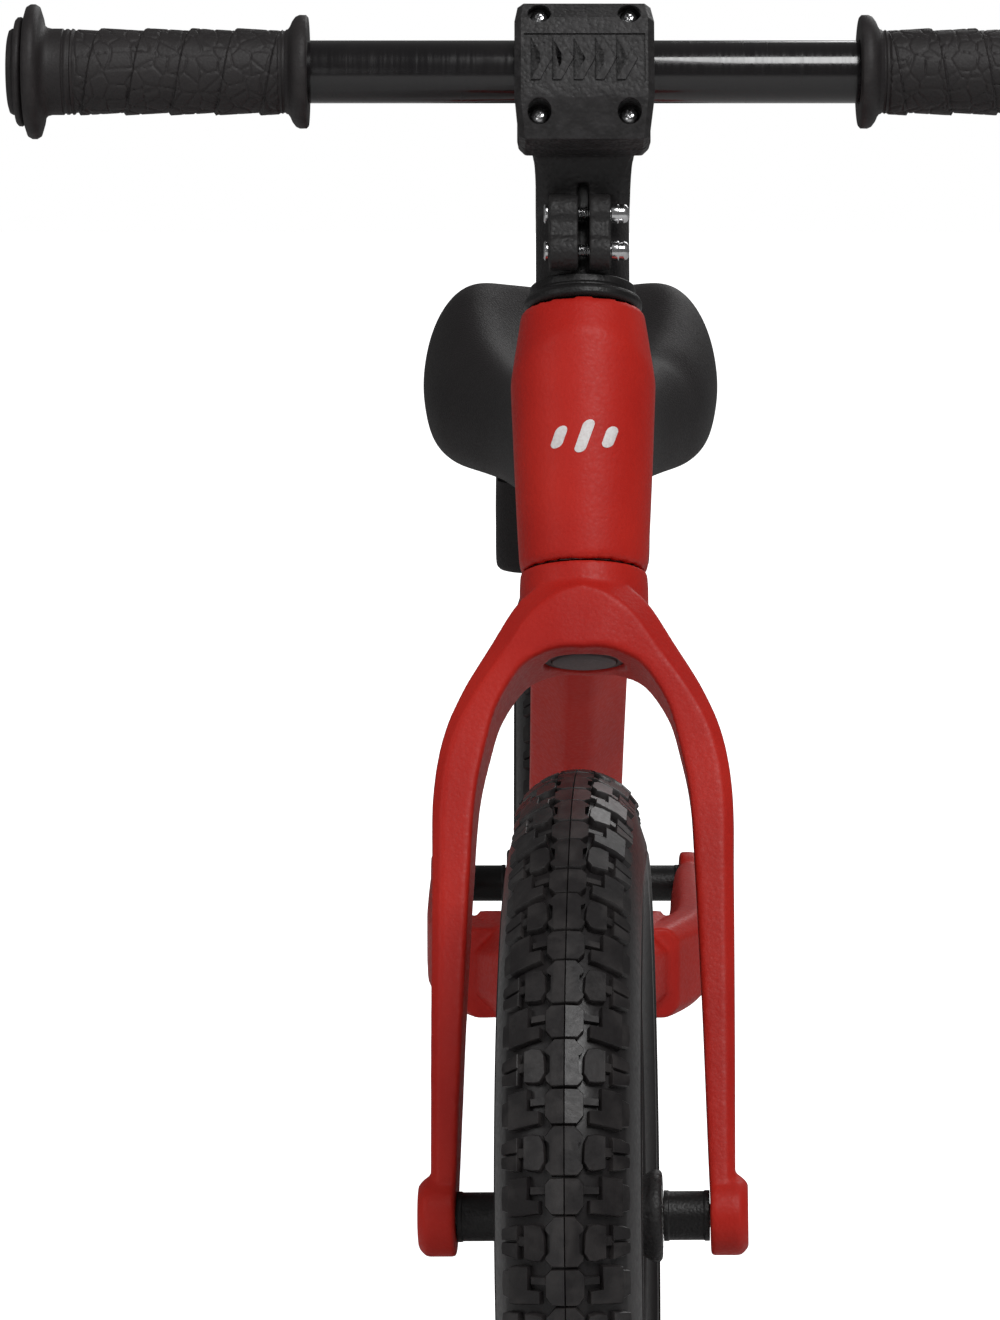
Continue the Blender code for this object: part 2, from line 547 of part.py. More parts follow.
cap_outline = [
    (3.4, NECK_HIGH + FIT), (15.0, NECK_HIGH + FIT), (15.0, NECK_HIGH + 2.0), (13.4, NECK_HIGH + 3.4),
    (3.4, NECK_HIGH + 3.4),
]
dress(turn("stem_top_cap", cap_outline, 20), "black_plastic", STEM_PIVOT)
cap_bolt_outline = [
    (0.0, NECK_HIGH - 12.0), (3.0, NECK_HIGH - 12.0), (3.0, NECK_HIGH + 3.7), (5.0, NECK_HIGH + 3.7),
    (5.0, NECK_HIGH + 5.6), (3.6, NECK_HIGH + 6.6), (0.0, NECK_HIGH + 6.6),
]
dress(turn("top_cap_bolt", cap_bolt_outline, 12), "steel", STEM_PIVOT)

# ---------------------------------------------------------------- bar and grips, about the bar axis
bar = sleeve("handlebar", BAR_RADIUS, BAR_RADIUS - 2.0, -BAR_HALF, BAR_HALF, 24, along_x())
dress(bar, "black_gloss", BAR_PIVOT)
hole = BAR_RADIUS + FIT
grip_outline = [
    (hole, GRIP_START), (20.25, GRIP_START), (20.25, GRIP_START + 3.0), (17.0, GRIP_START + 6.6),
    (GRIP_RADIUS, GRIP_START + 7.4), (GRIP_RADIUS, 193.4), (24.0, 194.6), (24.0, 199.4), (19.5, 200.0),
    (19.5, 203.2), (15.5, 203.6), (15.5, GRIP_END), (0.0, GRIP_END), (0.0, BAR_HALF + FIT), (hole, BAR_HALF + FIT),
]
for side, label in ((-1.0, "left"), (1.0, "right")):
    outward = along_x() if side > 0.0 else Matrix.Rotation(math.pi, 4, 'Z') @ along_x()
    dress(turn("grip_" + label, grip_outline, 24, outward), "grip_rubber", BAR_PIVOT)

# ---------------------------------------------------------------- seat clamp, post and saddle
clamp = sleeve("seat_clamp", 20.0, SEAT_TUBE_RADIUS + FIT, CLAMP_FOOT, SEAT_TUBE_HIGH - 0.5, 24, SEAT)
ear_height = (CLAMP_FOOT + SEAT_TUBE_HIGH - 0.5) / 2.0
ear_rings = [
    octagon((0.0, 18.4, ear_height), ACROSS, HEIGHT, 8.0, 6.5, 1.5),
    octagon((0.0, 31.0, ear_height), ACROSS, HEIGHT, 8.0, 6.5, 1.5),
]
combine(clamp, loft("ear_blank", ear_rings, SEAT), 'UNION')
cut_rings = [
    octagon((0.0, 14.0, ear_height), ACROSS, HEIGHT, 1.2, 12.0, 0.3),
    octagon((0.0, 36.0, ear_height), ACROSS, HEIGHT, 1.2, 12.0, 0.3),
]
combine(clamp, loft("cut_blank", cut_rings, SEAT), 'DIFFERENCE')
ear_frame = SEAT @ Matrix.Translation((0.0, 25.6, ear_height)) @ along_x()
combine(clamp, rod("ear_hole", 2.8, -14.0, 14.0, 14, ear_frame), 'DIFFERENCE')
dress(clamp, "black_plastic")
clamp_bolt_outline = [
    (0.0, -12.4), (4.2, -12.4), (4.2, -8.3), (2.5, -8.3), (2.5, 12.6), (0.0, 12.6),
]
dress(turn("seat_clamp_bolt", clamp_bolt_outline, 14, ear_frame), "steel")
dress(sleeve("seat_clamp_nut", 4.8, 3.2, 8.3, 12.0, 6, ear_frame), "steel")

post = sleeve("seat_post", POST_RADIUS, POST_RADIUS - 2.0, POST_LOW, POST_HIGH, 24)
dress(post, "black_gloss", SEAT_PIVOT)

TO_SEAT = SEAT.inverted()
SHROUD = 31.75
shroud_rings = []
for height, half_wide, front, back in ((325.0, SHROUD - 1.5, 66.0, 162.0), (329.0, SHROUD, 63.0, 165.0),
                                       (356.0, SHROUD, 58.0, 166.0), (361.0, SHROUD + 3.0, 52.0, 168.0)):
    middle = (front + back) / 2.0
    shroud_rings.append(octagon((0.0, middle, height), ACROSS, BACK, half_wide, (back - front) / 2.0, 11.0))
base = loft("saddle_base", shroud_rings, TO_SEAT)


def plan_ring(height, inset):
    """Outline of the pan seen from above, its sides drawn in by inset."""
    stations = ((-36.0, 10.0), (-24.0, 19.0), (20.0, 26.0), (70.0, 37.0), (112.0, 54.0), (148.0, 57.0), (163.0, 42.0))
    right = [Vector((half - inset, y, height)) for y, half in stations]
    left = [Vector((-point.x, point.y, height)) for point in reversed(right)]
    return right + left


pan = loft("pan_blank", [plan_ring(359.0, 7.0), plan_ring(363.0, 5.0)], TO_SEAT)
combine(base, pan, 'UNION')
combine(base, rod("post_socket", POST_RADIUS + FIT, 150.0, POST_HIGH + FIT, 24), 'DIFFERENCE')
REARWARD = Matrix.Rotation(-math.pi / 2.0, 4, 'X')
screw_height = 194.0
screw_frame = Matrix.Translation((0.0, 0.0, screw_height)) @ REARWARD
combine(base, rod("clamp_hole", 3.1, 8.0, 80.0, 14, screw_frame), 'DIFFERENCE')
combine(base, rod("clamp_pocket", 6.4, 30.0, 80.0, 14, screw_frame), 'DIFFERENCE')
dress(base, "black_plastic", SEAT_PIVOT)
screw_tip = POST_RADIUS + 0.4
clamp_screw_outline = [
    (0.0, screw_tip), (2.8, screw_tip), (2.8, 30.3), (5.4, 30.3), (5.4, 34.6), (2.6, 34.6),
    (2.6, 32.0), (0.0, 32.0),
]
dress(turn("saddle_clamp_screw", clamp_screw_outline, 12, screw_frame), "steel", SEAT_PIVOT)

# Saddle cushion: half width, top and skirt height at stations from nose to tail
CUSHION = (
    (-50.0, 8.0, 404.0, 386.0), (-44.0, 15.0, 410.0, 374.0), (-20.0, 22.0, 412.0, 366.0),
    (20.0, 28.0, 410.0, 365.0), (60.0, 36.0, 409.0, 364.5), (96.0, 50.0, 413.0, 364.0),
    (124.0, 59.5, 422.0, 364.0), (150.0, 62.6, 433.0, 365.0), (168.0, 57.0, 440.0, 370.0),
    (178.0, 44.0, 440.0, 386.0),
)
cushion_rings = []
for y, half, top, skirt in CUSHION:
    tall = top - skirt
    outline = (
        (0.30, 1.0), (0.66, 0.95), (0.92, 0.74), (1.0, 0.42), (0.97, 0.10), (0.88, 0.0),
    )
    right = [Vector((half * across, y, skirt + tall * level)) for across, level in outline]
    left = [Vector((-point.x, y, point.z)) for point in reversed(right)]
    cushion_rings.append(right + left)
cushion = loft("saddle_cushion", cushion_rings, TO_SEAT)
dress(cushion, "saddle_skin", SEAT_PIVOT)

bpy.context.view_layer.update()
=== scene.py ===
"""Looks of the child's balance bike: castings, tyres, grips, stem, saddle and their finishes."""

import json
import math

import bmesh
import bpy
from mathutils import Matrix, Vector


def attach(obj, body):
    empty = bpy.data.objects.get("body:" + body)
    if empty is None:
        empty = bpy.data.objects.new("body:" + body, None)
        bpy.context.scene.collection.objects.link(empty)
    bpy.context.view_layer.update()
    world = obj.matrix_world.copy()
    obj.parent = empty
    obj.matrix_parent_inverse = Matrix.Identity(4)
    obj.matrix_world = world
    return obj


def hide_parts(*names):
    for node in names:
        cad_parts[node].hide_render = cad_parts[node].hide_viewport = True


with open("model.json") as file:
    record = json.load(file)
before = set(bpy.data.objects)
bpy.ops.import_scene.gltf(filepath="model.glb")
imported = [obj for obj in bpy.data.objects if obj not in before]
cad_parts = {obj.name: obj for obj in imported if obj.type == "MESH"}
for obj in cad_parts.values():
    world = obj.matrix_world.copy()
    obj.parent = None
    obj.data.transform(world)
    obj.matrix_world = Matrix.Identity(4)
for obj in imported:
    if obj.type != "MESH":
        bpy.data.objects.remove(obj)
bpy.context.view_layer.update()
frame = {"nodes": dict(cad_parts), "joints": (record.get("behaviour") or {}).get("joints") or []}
JOINTS = {joint["name"]: joint for joint in frame["joints"]}
MM = 0.001

# Sizes in millimetres, as on the solids that these pieces stand for
FORK_OFFSET = 28.0
HEAD_LOW = 232.0
HEAD_HIGH = 329.0
COLLAR_HIGH = 338.6
NECK_HIGH = 388.0
REACH = 35.0
BAR_HEIGHT = 408.5
BAR_RADIUS = 11.2
BAR_HALF = 202.4
STEM_HALF = 24.9
SCREW_X = 16.0
CLAMP_MIDDLE = 406.7
CLAMP_LOW = 379.2
CLAMP_TOP = 430.4
SCREW_RISE = 18.3
BOLT_SINK = 3.6
PINCH_FORWARD = 20.5
PINCH_HEIGHTS = (346.0, 360.0)
LUG_INNER = 43.2
LUG_OUTER = 56.0
LUG_RADIUS = 13.5
DROPOUT_INNER = 53.0
DROPOUT_OUTER = 62.0
DROPOUT_RADIUS = 14.6
HALF_BASE = 280.0
WHEEL_RADIUS = 152.0
TREAD_DEPTH = 2.7
TREAD_REPEATS = 34
CROWN_RADIUS = WHEEL_RADIUS - TREAD_DEPTH
CROWN_BEND = 27.5
SPOKES = 6
HUB_HALF = 27.0
SEAT_FOOT = (0.0, 0.078, 0.150)
SEAT_TUBE_HIGH = 150.0
SEAT_CLAMP_MIDDLE = SEAT_TUBE_HIGH - 7.75
SADDLE_SCREW_HEIGHT = 194.0
SLOT_MIDDLE = 353.0
PANEL_MIDDLE = 407.4
EMBLEM_MIDDLE = 276.0
GRIP_WRAP_START = 108.4
GRIP_WRAP_END = 182.0
GRIP_TURNS = 4.55
GRIP_STATIONS = 300
GRIP_SKIN = 14.55

# Radii of the holes that take a shaft
STEERER_FIT = 14.6
BAR_FIT = 11.5
POST_FIT = 13.9
AXLE_FIT = 4.25
AXLE_HOLE = 4.3
BOLT_POCKET = 7.8

# Grain of the casts, as the size of the cells that melt their pieces together
FORK_CELL = 1.0
FRAME_CELL = 1.38
WHEEL_CELL = 1.18
STEM_CELL = 0.6

# Camera and floor, in metres and degrees
CAMERA_SPOT = (-0.030, -1.757, 0.572)
CAMERA_DOWN = 8.8
CAMERA_LENS = 122.2
FLOOR_HALF = 8.0
LAMP_AIM = (0.0, 0.0, 0.3)
ROOM_LIGHT = 0.13

ACROSS = Vector((1.0, 0.0, 0.0))
BACK = Vector((0.0, 1.0, 0.0))
UP = Vector((0.0, 0.0, 1.0))
SIDES = (-1.0, 1.0)


# ---------------------------------------------------------------- frames of reference
def axes(origin, across, up):
    """Matrix from millimetres on a piece's own axes to metres: Z along up, X near across."""
    up = Vector(up).normalized()
    across = Vector(across)
    across = (across - up * across.dot(up)).normalized()
    turned = Matrix((across, up.cross(across), up)).transposed().to_4x4()
    return Matrix.Translation(Vector(origin)) @ turned @ Matrix.Scale(MM, 4)


STEER = JOINTS["steering"]
FRONT = JOINTS["front_wheel_spin"]
REAR = JOINTS["rear_wheel_spin"]
BAR = JOINTS["bar_roll"]
WORLD = Matrix.Scale(MM, 4)
HEAD = axes(STEER["pos_m"], ACROSS, STEER["axis"])
STEERED = axes(STEER["pos_m"], FRONT["axis"], STEER["axis"])
FRONT_HUB = axes(FRONT["pos_m"], UP, FRONT["axis"])
REAR_HUB = axes(REAR["pos_m"], UP, REAR["axis"])
BAR_RIGHT = axes(BAR["pos_m"], UP, ACROSS)
BAR_LEFT = axes(BAR["pos_m"], UP, -ACROSS)
SEAT = axes(SEAT_FOOT, ACROSS, JOINTS["seat_height"]["axis"])
SIDEWAYS = Matrix.Rotation(math.pi / 2.0, 4, 'Y')
FORWARD = Matrix.Rotation(math.pi / 2.0, 4, 'X')

# The same places in the bike's own millimetres
TO_BIKE = WORLD.inverted()
HEAD_IN_BIKE = TO_BIKE @ HEAD
SEAT_IN_BIKE = TO_BIKE @ SEAT
REAR_IN_BIKE = TO_BIKE @ REAR_HUB
LUG_LINE = Matrix.Translation((0.0, -FORK_OFFSET, 0.0)) @ SIDEWAYS
BAR_LINE = Matrix.Translation((0.0, -REACH, BAR_HEIGHT)) @ SIDEWAYS
PINCH_LINES = [Matrix.Translation((0.0, -PINCH_FORWARD, height)) @ SIDEWAYS for height in PINCH_HEIGHTS]
SCREW_LINES = [Matrix.Translation((x, 0.0, CLAMP_MIDDLE + rise)) @ FORWARD
               for rise in (-SCREW_RISE, SCREW_RISE) for x in (-SCREW_X, SCREW_X)]


# ---------------------------------------------------------------- mesh tools
def new_object(name, bm, turn_out=True):
    """Object from a bmesh, still in the piece's own millimetres."""
    bmesh.ops.remove_doubles(bm, verts=bm.verts, dist=0.0004)
    if turn_out:
        bmesh.ops.recalc_face_normals(bm, faces=bm.faces)
    mesh = bpy.data.meshes.new(name)
    bm.to_mesh(mesh)
    bm.free()
    obj = bpy.data.objects.new(name, mesh)
    bpy.context.scene.collection.objects.link(obj)
    return obj


def settle(obj):
    """Turn an object's modifiers into plain mesh."""
    bpy.context.view_layer.update()
    mesh = bpy.data.meshes.new_from_object(obj.evaluated_get(bpy.context.evaluated_depsgraph_get()))
    obj.modifiers.clear()
    old = obj.data
    obj.data = mesh
    bpy.data.meshes.remove(old)
    return obj


def combine(target, tool, operation='UNION'):
    """Add or cut one solid with another."""
    change = target.modifiers.new("combine", 'BOOLEAN')
    change.solver = 'EXACT'
    change.operation = operation
    change.object = tool
    settle(target)
    bpy.data.objects.remove(tool, do_unlink=True)
    return target


def join(target, others):
    """Put several closed bodies into one mesh without cutting them."""
    bm = bmesh.new()
    for obj in [target] + list(others):
        bm.from_mesh(obj.data)
    bm.to_mesh(target.data)
    bm.free()
    for obj in others:
        bpy.data.objects.remove(obj, do_unlink=True)
    return target


def soften(outline, radius, arc=3, closed=True):
    """Round the corners of an outline of (x, y) points, leaving any that lie on the axis."""
    result = []
    count = len(outline)
    for index, point in enumerate(outline):
        here = Vector(point)
        before = Vector(outline[index - 1])
        after = Vector(outline[(index + 1) % count])
        on_axis = here.x < 0.001
        if on_axis or (not closed and index in (0, count - 1)):
            result.append(tuple(here))
            continue
        back = before - here
        on = after - here
        cut = min(radius, back.length * 0.4, on.length * 0.4)
        start = here + back.normalized() * cut
        stop = here + on.normalized() * cut
        for step in range(arc + 1):
            t = step / arc
            curve = start * (1 - t) ** 2 + here * 2 * t * (1 - t) + stop * t * t
            result.append(tuple(curve))
    return result


def spin(name, outline, steps=96, frame_in=None, fillet=0.35):
    """Turn a closed (radius, height) outline about Z."""
    outline = soften(outline, fillet) if fillet > 0.0 else outline
    bm = bmesh.new()
    rings = []
    for index in range(steps):
        angle = 2.0 * math.pi * index / steps
        rings.append([bm.verts.new((r * math.cos(angle), r * math.sin(angle), h)) for r, h in outline])
    count = len(outline)
    for index in range(steps):
        here = rings[index]
        following = rings[(index + 1) % steps]
        for side in range(count):
            after = (side + 1) % count
            if outline[side][0] < 0.001 and outline[after][0] < 0.001:
                continue
            bm.faces.new((here[side], following[side], following[after], here[after]))
    bmesh.ops.remove_doubles(bm, verts=bm.verts, dist=0.0004)
    bmesh.ops.dissolve_degenerate(bm, dist=0.0004, edges=bm.edges)
    if frame_in is not None:
        bmesh.ops.transform(bm, matrix=frame_in, verts=bm.verts)
    return new_object(name, bm)


def rod(name, radius, low, high, steps=64, frame_in=None):
    """Plain round or many-sided bar about Z."""
    return spin(name, [(0.0, low), (radius, low), (radius, high), (0.0, high)], steps, frame_in, 0.0)


def drill(target, radius, low, high, steps=64, frame_in=None):
    """Cut a hole; six steps make the socket of a hexagon key."""
    return combine(target, rod("drill", radius, low, high, steps, frame_in), 'DIFFERENCE')


def link_rings(bm, rings):
    """Faces between neighbouring rings of vertices."""
    count = len(rings[0])
    for here, following in zip(rings, rings[1:]):
        for side in range(count):
            after = (side + 1) % count
            bm.faces.new((here[side], here[after], following[after], following[side]))


def skin(name, rings):
    """Skin a list of rings of points; ends closed with a face each."""
    bm = bmesh.new()
    made = [[bm.verts.new(point) for point in ring] for ring in rings]
    link_rings(bm, made)
    bm.faces.new(made[0])
    bm.faces.new(list(reversed(made[-1])))
    return new_object(name, bm)


def smooth_rows(rows, steps=6):
    """Catmull-Rom curve through rows of numbers, with the given rows kept."""
    result = []
    last = len(rows) - 1
    for index in range(last):
        p0 = rows[max(index - 1, 0)]
        p1 = rows[index]
        p2 = rows[index + 1]
        p3 = rows[min(index + 2, last)]
        for step in range(steps):
            t = step / steps
            row = []
            for a, b, c, d in zip(p0, p1, p2, p3):
                row.append(0.5 * (2 * b + (c - a) * t + (2 * a - 5 * b + 4 * c - d) * t * t
                                  + (3 * b - a - 3 * c + d) * t ** 3))
            result.append(row)
    result.append(list(rows[last]))
    return result


def cut_corner_ring(centre, side, up, half_side, half_up, cut):
    """Ring of a rectangle with cut corners, spanned by two unit directions."""
    inner_side = half_side - cut
    inner_up = half_up - cut
    corners = (
        (half_side, inner_up), (inner_side, half_up), (-inner_side, half_up), (-half_side, inner_up),
        (-half_side, -inner_up), (-inner_side, -half_up), (inner_side, -half_up), (half_side, -inner_up),
    )
    return [Vector(centre) + Vector(side) * a + Vector(up) * b for a, b in corners]


def cast(obj, voxel, rounds):
    """Melt overlapping bodies into one casting with small fillets."""
    melt = obj.modifiers.new("melt", 'REMESH')
    melt.mode = 'VOXEL'
    melt.voxel_size = voxel
    relax = obj.modifiers.new("relax", 'SMOOTH')
    relax.factor = 0.5
    relax.iterations = rounds
    return settle(obj)


def bevelled(obj, width):
    """Break the sharp edges of a finished block."""
    edge = obj.modifiers.new("edge", 'BEVEL')
    edge.width = width
    edge.segments = 2
    edge.limit_method = 'ANGLE'
    edge.angle_limit = math.radians(28.0)
    edge.harden_normals = False
    return settle(obj)


def dress(obj, material):
    obj.data.materials.clear()
    obj.data.materials.append(material)


def place(obj, into, material, body, stands_for=(), sharp=32.0):
    """Carry a finished piece to its place, dress it and tie it to its body.

    Edges steeper than sharp, in degrees, stay crisp; 0 leaves none.
    """
    obj.data.transform(into)
    dress(obj, material)
    for face in obj.data.polygons:
        face.material_index = 0
    obj.data.shade_smooth()
    if sharp:
        obj.data.set_sharp_from_angle(angle=math.radians(sharp))
    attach(obj, body)
    if stands_for:
        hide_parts(*stands_for)
    return obj


# ---------------------------------------------------------------- node helpers
class Wiring:
    """Short way to add and link nodes in one tree."""

    def __init__(self, tree):
        self.tree = tree

    def add(self, kind, **values):
        node = self.tree.nodes.new(kind)
        for key, value in values.items():
            setattr(node, key, value)
        return node

    def link(self, source, target):
        self.tree.links.new(source, target)

    def math(self, operation, first, second=0.5, clamp=False):
        node = self.add('ShaderNodeMath', operation=operation, use_clamp=clamp)
        for socket, value in zip(node.inputs, (first, second)):
            if hasattr(value, "is_linked"):
                self.link(value, socket)
            else:
                socket.default_value = value
        return node.outputs[0]

    def noise(self, vector, scale, detail=4.0, roughness=0.55):
        node = self.add('ShaderNodeTexNoise')
        node.inputs["Scale"].default_value = scale
        node.inputs["Detail"].default_value = detail
        node.inputs["Roughness"].default_value = roughness
        self.link(vector, node.inputs["Vector"])
        return node.outputs["Fac"]

    def remap(self, value, low, high, to_low=0.0, to_high=1.0):
        node = self.add('ShaderNodeMapRange')
        self.link(value, node.inputs["Value"])
        node.inputs["From Min"].default_value = low
        node.inputs["From Max"].default_value = high
        node.inputs["To Min"].default_value = to_low
        node.inputs["To Max"].default_value = to_high
        return node.outputs["Result"]

    def blend(self, amount, first, second):
        node = self.add('ShaderNodeMix', data_type='RGBA')
        for socket, value in ((node.inputs[0], amount), (node.inputs[6], first), (node.inputs[7], second)):
            if hasattr(value, "is_linked"):
                self.link(value, socket)
            else:
                socket.default_value = value
        return node.outputs[2]


def start_group(name, inputs, outputs):
    """Shader group with number inputs (name, default) and number outputs."""
    group = bpy.data.node_groups.new(name, 'ShaderNodeTree')
    vector = group.interface.new_socket("Vector", in_out='INPUT', socket_type='NodeSocketVector')
    vector.hide_value = True
    for label, default in inputs:
        socket = group.interface.new_socket(label, in_out='INPUT', socket_type='NodeSocketFloat')
        socket.default_value = default
    for label in outputs:
        group.interface.new_socket(label, in_out='OUTPUT', socket_type='NodeSocketFloat')
    wiring = Wiring(group)
    return group, wiring, wiring.add('NodeGroupInput'), wiring.add('NodeGroupOutput')


def start_tree(name, inputs):
    """Geometry tree on a mesh, with its own inputs (name, kind) and a finish."""
    tree = bpy.data.node_groups.new(name, 'GeometryNodeTree')
    for label, kind in (("Geometry", 'Geometry'),) + inputs + (("Finish", 'Material'),):
        tree.interface.new_socket(label, in_out='INPUT', socket_type='NodeSocket' + kind)
    tree.interface.new_socket("Geometry", in_out='OUTPUT', socket_type='NodeSocketGeometry')
    wiring = Wiring(tree)
    return tree, wiring, wiring.add('NodeGroupInput'), wiring.add('NodeGroupOutput')


def end_tree(w, geometry, given, result):
    """Close a geometry tree with real copies that all carry the finish."""
    real = w.add('GeometryNodeRealizeInstances')
    w.link(geometry, real.inputs[0])
    finish = w.add('GeometryNodeSetMaterial')
    w.link(real.outputs[0], finish.inputs["Geometry"])
    w.link(given.outputs["Finish"], finish.inputs["Material"])
    w.link(finish.outputs[0], result.inputs[0])


def make_grain():
    """Fine moulded or sprayed texture: a height, and a slow change of tone."""
    group, w, given, result = start_group("Surface grain", (("Scale", 1500.0), ("Coarse share", 0.3)),
                                          ("Height", "Tone"))
    fine = w.add('ShaderNodeTexNoise')
    fine.inputs["Detail"].default_value = 3.0
    w.link(given.outputs["Vector"], fine.inputs["Vector"])
    w.link(given.outputs["Scale"], fine.inputs["Scale"])
    pits = w.add('ShaderNodeTexVoronoi', feature='SMOOTH_F1')
    w.link(given.outputs["Vector"], pits.inputs["Vector"])
    w.link(w.math('MULTIPLY', given.outputs["Scale"], 0.62), pits.inputs["Scale"])
    mixed = w.math('ADD', w.math('MULTIPLY', pits.outputs["Distance"], given.outputs["Coarse share"]),
                   w.math('MULTIPLY', fine.outputs["Fac"], 0.6))
    w.link(mixed, result.inputs["Height"])
    slow = w.noise(given.outputs["Vector"], 22.0, 3.0)
    w.link(w.remap(slow, 0.3, 0.7), result.inputs["Tone"])
    return group


def make_wear():
    """Handling marks: raised edges rubbed a little, broken up by noise."""
    group, w, given, result = start_group("Edge wear", (("Amount", 0.5), ("Scale", 180.0)),
                                          ("Edge", "Scuff"))
    shape = w.add('ShaderNodeNewGeometry')
    edge = w.remap(shape.outputs["Pointiness"], 0.52, 0.62)
    patch = w.add('ShaderNodeTexNoise')
    patch.inputs["Detail"].default_value = 6.0
    w.link(given.outputs["Vector"], patch.inputs["Vector"])
    w.link(given.outputs["Scale"], patch.inputs["Scale"])
    broken = w.math('MULTIPLY', edge, w.remap(patch.outputs["Fac"], 0.42, 0.62))
    w.link(w.math('MULTIPLY', broken, given.outputs["Amount"], True), result.inputs["Edge"])
    marks = w.noise(given.outputs["Vector"], 60.0, 8.0, 0.7)
    scuffed = w.math('MULTIPLY', w.remap(marks, 0.55, 0.75), given.outputs["Amount"], True)
    w.link(scuffed, result.inputs["Scuff"])
    return group


def make_dust():
    """Pale dust that settles on faces that look up and in hollows."""
    group, w, given, result = start_group("Settled dust", (("Amount", 0.3),), ("Mask",))
    shape = w.add('ShaderNodeNewGeometry')
    parts = w.add('ShaderNodeSeparateXYZ')
    w.link(shape.outputs["Normal"], parts.inputs[0])
    hollow = w.remap(shape.outputs["Pointiness"], 0.5, 0.42)
    lying = w.remap(parts.outputs["Z"], 0.1, 1.0, 0.0, 0.5)
    cloud = w.remap(w.noise(given.outputs["Vector"], 90.0, 6.0), 0.4, 0.7)
    total = w.math('MULTIPLY', w.math('ADD', hollow, lying), cloud)
    w.link(w.math('MULTIPLY', total, given.outputs["Amount"], True), result.inputs["Mask"])
    return group


GRAIN = make_grain()
WEAR = make_wear()
DUST = make_dust()


class Finish:
    """One material: its shader, object coordinates and the shared groups."""

    def __init__(self, name, roughness=0.5, metallic=0.0, **sockets):
        self.material = bpy.data.materials.new(name)
        self.material.use_nodes = True
        self.wiring = Wiring(self.material.node_tree)
        self.shader = self.material.node_tree.nodes["Principled BSDF"]
        self.shader.inputs["Roughness"].default_value = roughness
        self.shader.inputs["Metallic"].default_value = metallic
        for label, value in sockets.items():
            self.shader.inputs[label.replace("_", " ")].default_value = value
        self.place = self.wiring.add('ShaderNodeTexCoord').outputs["Object"]

    def group(self, tree, **values):
        node = self.wiring.add('ShaderNodeGroup', node_tree=tree)
        self.wiring.link(self.place, node.inputs["Vector"])
        for label, value in values.items():
            node.inputs[label.replace("_", " ")].default_value = value
        return node

    def colour(self, socket):
        self.wiring.link(socket, self.shader.inputs["Base Color"])

    def roughness(self, socket):
        self.wiring.link(socket, self.shader.inputs["Roughness"])

    def bump(self, height, strength, distance=0.0002):
        node = self.wiring.add('ShaderNodeBump')
        node.inputs["Strength"].default_value = strength
        node.inputs["Distance"].default_value = distance
        self.wiring.link(height, node.inputs["Height"])
        self.wiring.link(node.outputs["Normal"], self.shader.inputs["Normal"])
        return node


def powder_coat():
    """Red powder coat over a light-alloy casting: orange peel, fine sparkle painted into the colour as
    bright glints, slightly worn edges.
    """
    finish = Finish("red powder coat", Specular_IOR_Level=0.26, Coat_Roughness=0.3)
    finish.shader.inputs["Coat Weight"].default_value = 0.03
    w = finish.wiring
    grain = finish.group(GRAIN, Scale=1150.0, Coarse_share=0.9)
    wear = finish.group(WEAR, Amount=0.25, Scale=240.0)
    dust = finish.group(DUST, Amount=0.03)
    body = w.blend(grain.outputs["Tone"], (0.50, 0.014, 0.009, 1.0), (0.62, 0.024, 0.014, 1.0))
    # Painted glints: bright red specks at the cell centres, put into the base colour in place of the coat's
    # sparkle.
    glint_cells = w.add('ShaderNodeTexVoronoi')
    glint_cells.inputs["Scale"].default_value = 1500.0
    w.link(finish.place, glint_cells.inputs["Vector"])
    spark = w.remap(glint_cells.outputs["Distance"], 0.14, 0.02)
    glint_painted = w.blend(w.math('MULTIPLY', spark, 0.6), body, (0.95, 0.12, 0.07, 1.0))
    worn = w.blend(wear.outputs["Edge"], glint_painted, (0.72, 0.09, 0.06, 1.0))
    finish.colour(w.blend(dust.outputs["Mask"], worn, (0.62, 0.42, 0.38, 1.0)))
    finish.roughness(w.remap(grain.outputs["Height"], 0.2, 0.9, 0.36, 0.56))
    finish.bump(grain.outputs["Height"], 0.32, 0.0003)
    return finish.material


def moulded_plastic(name, tone=0.015, scale=1000.0, strength=0.9, low=0.42, high=0.6):
    """Black nylon with a spark-eroded mould grain."""
    finish = Finish(name, Specular_IOR_Level=0.4)
    w = finish.wiring
    grain = finish.group(GRAIN, Scale=scale, Coarse_share=0.9)
    wear = finish.group(WEAR, Amount=0.35, Scale=210.0)
    dust = finish.group(DUST, Amount=0.05)
    body = w.blend(grain.outputs["Tone"], (tone, tone * 0.93, tone * 0.95, 1.0),
                   (tone * 1.35, tone * 1.25, tone * 1.28, 1.0))
    worn = w.blend(wear.outputs["Edge"], body, (tone * 3.4, tone * 3.2, tone * 3.3, 1.0))
    finish.colour(w.blend(dust.outputs["Mask"], worn, (0.2, 0.18, 0.17, 1.0)))
    finish.roughness(w.remap(grain.outputs["Height"], 0.2, 0.9, low, high))
    finish.bump(grain.outputs["Height"], strength, 0.0004)
    return finish.material


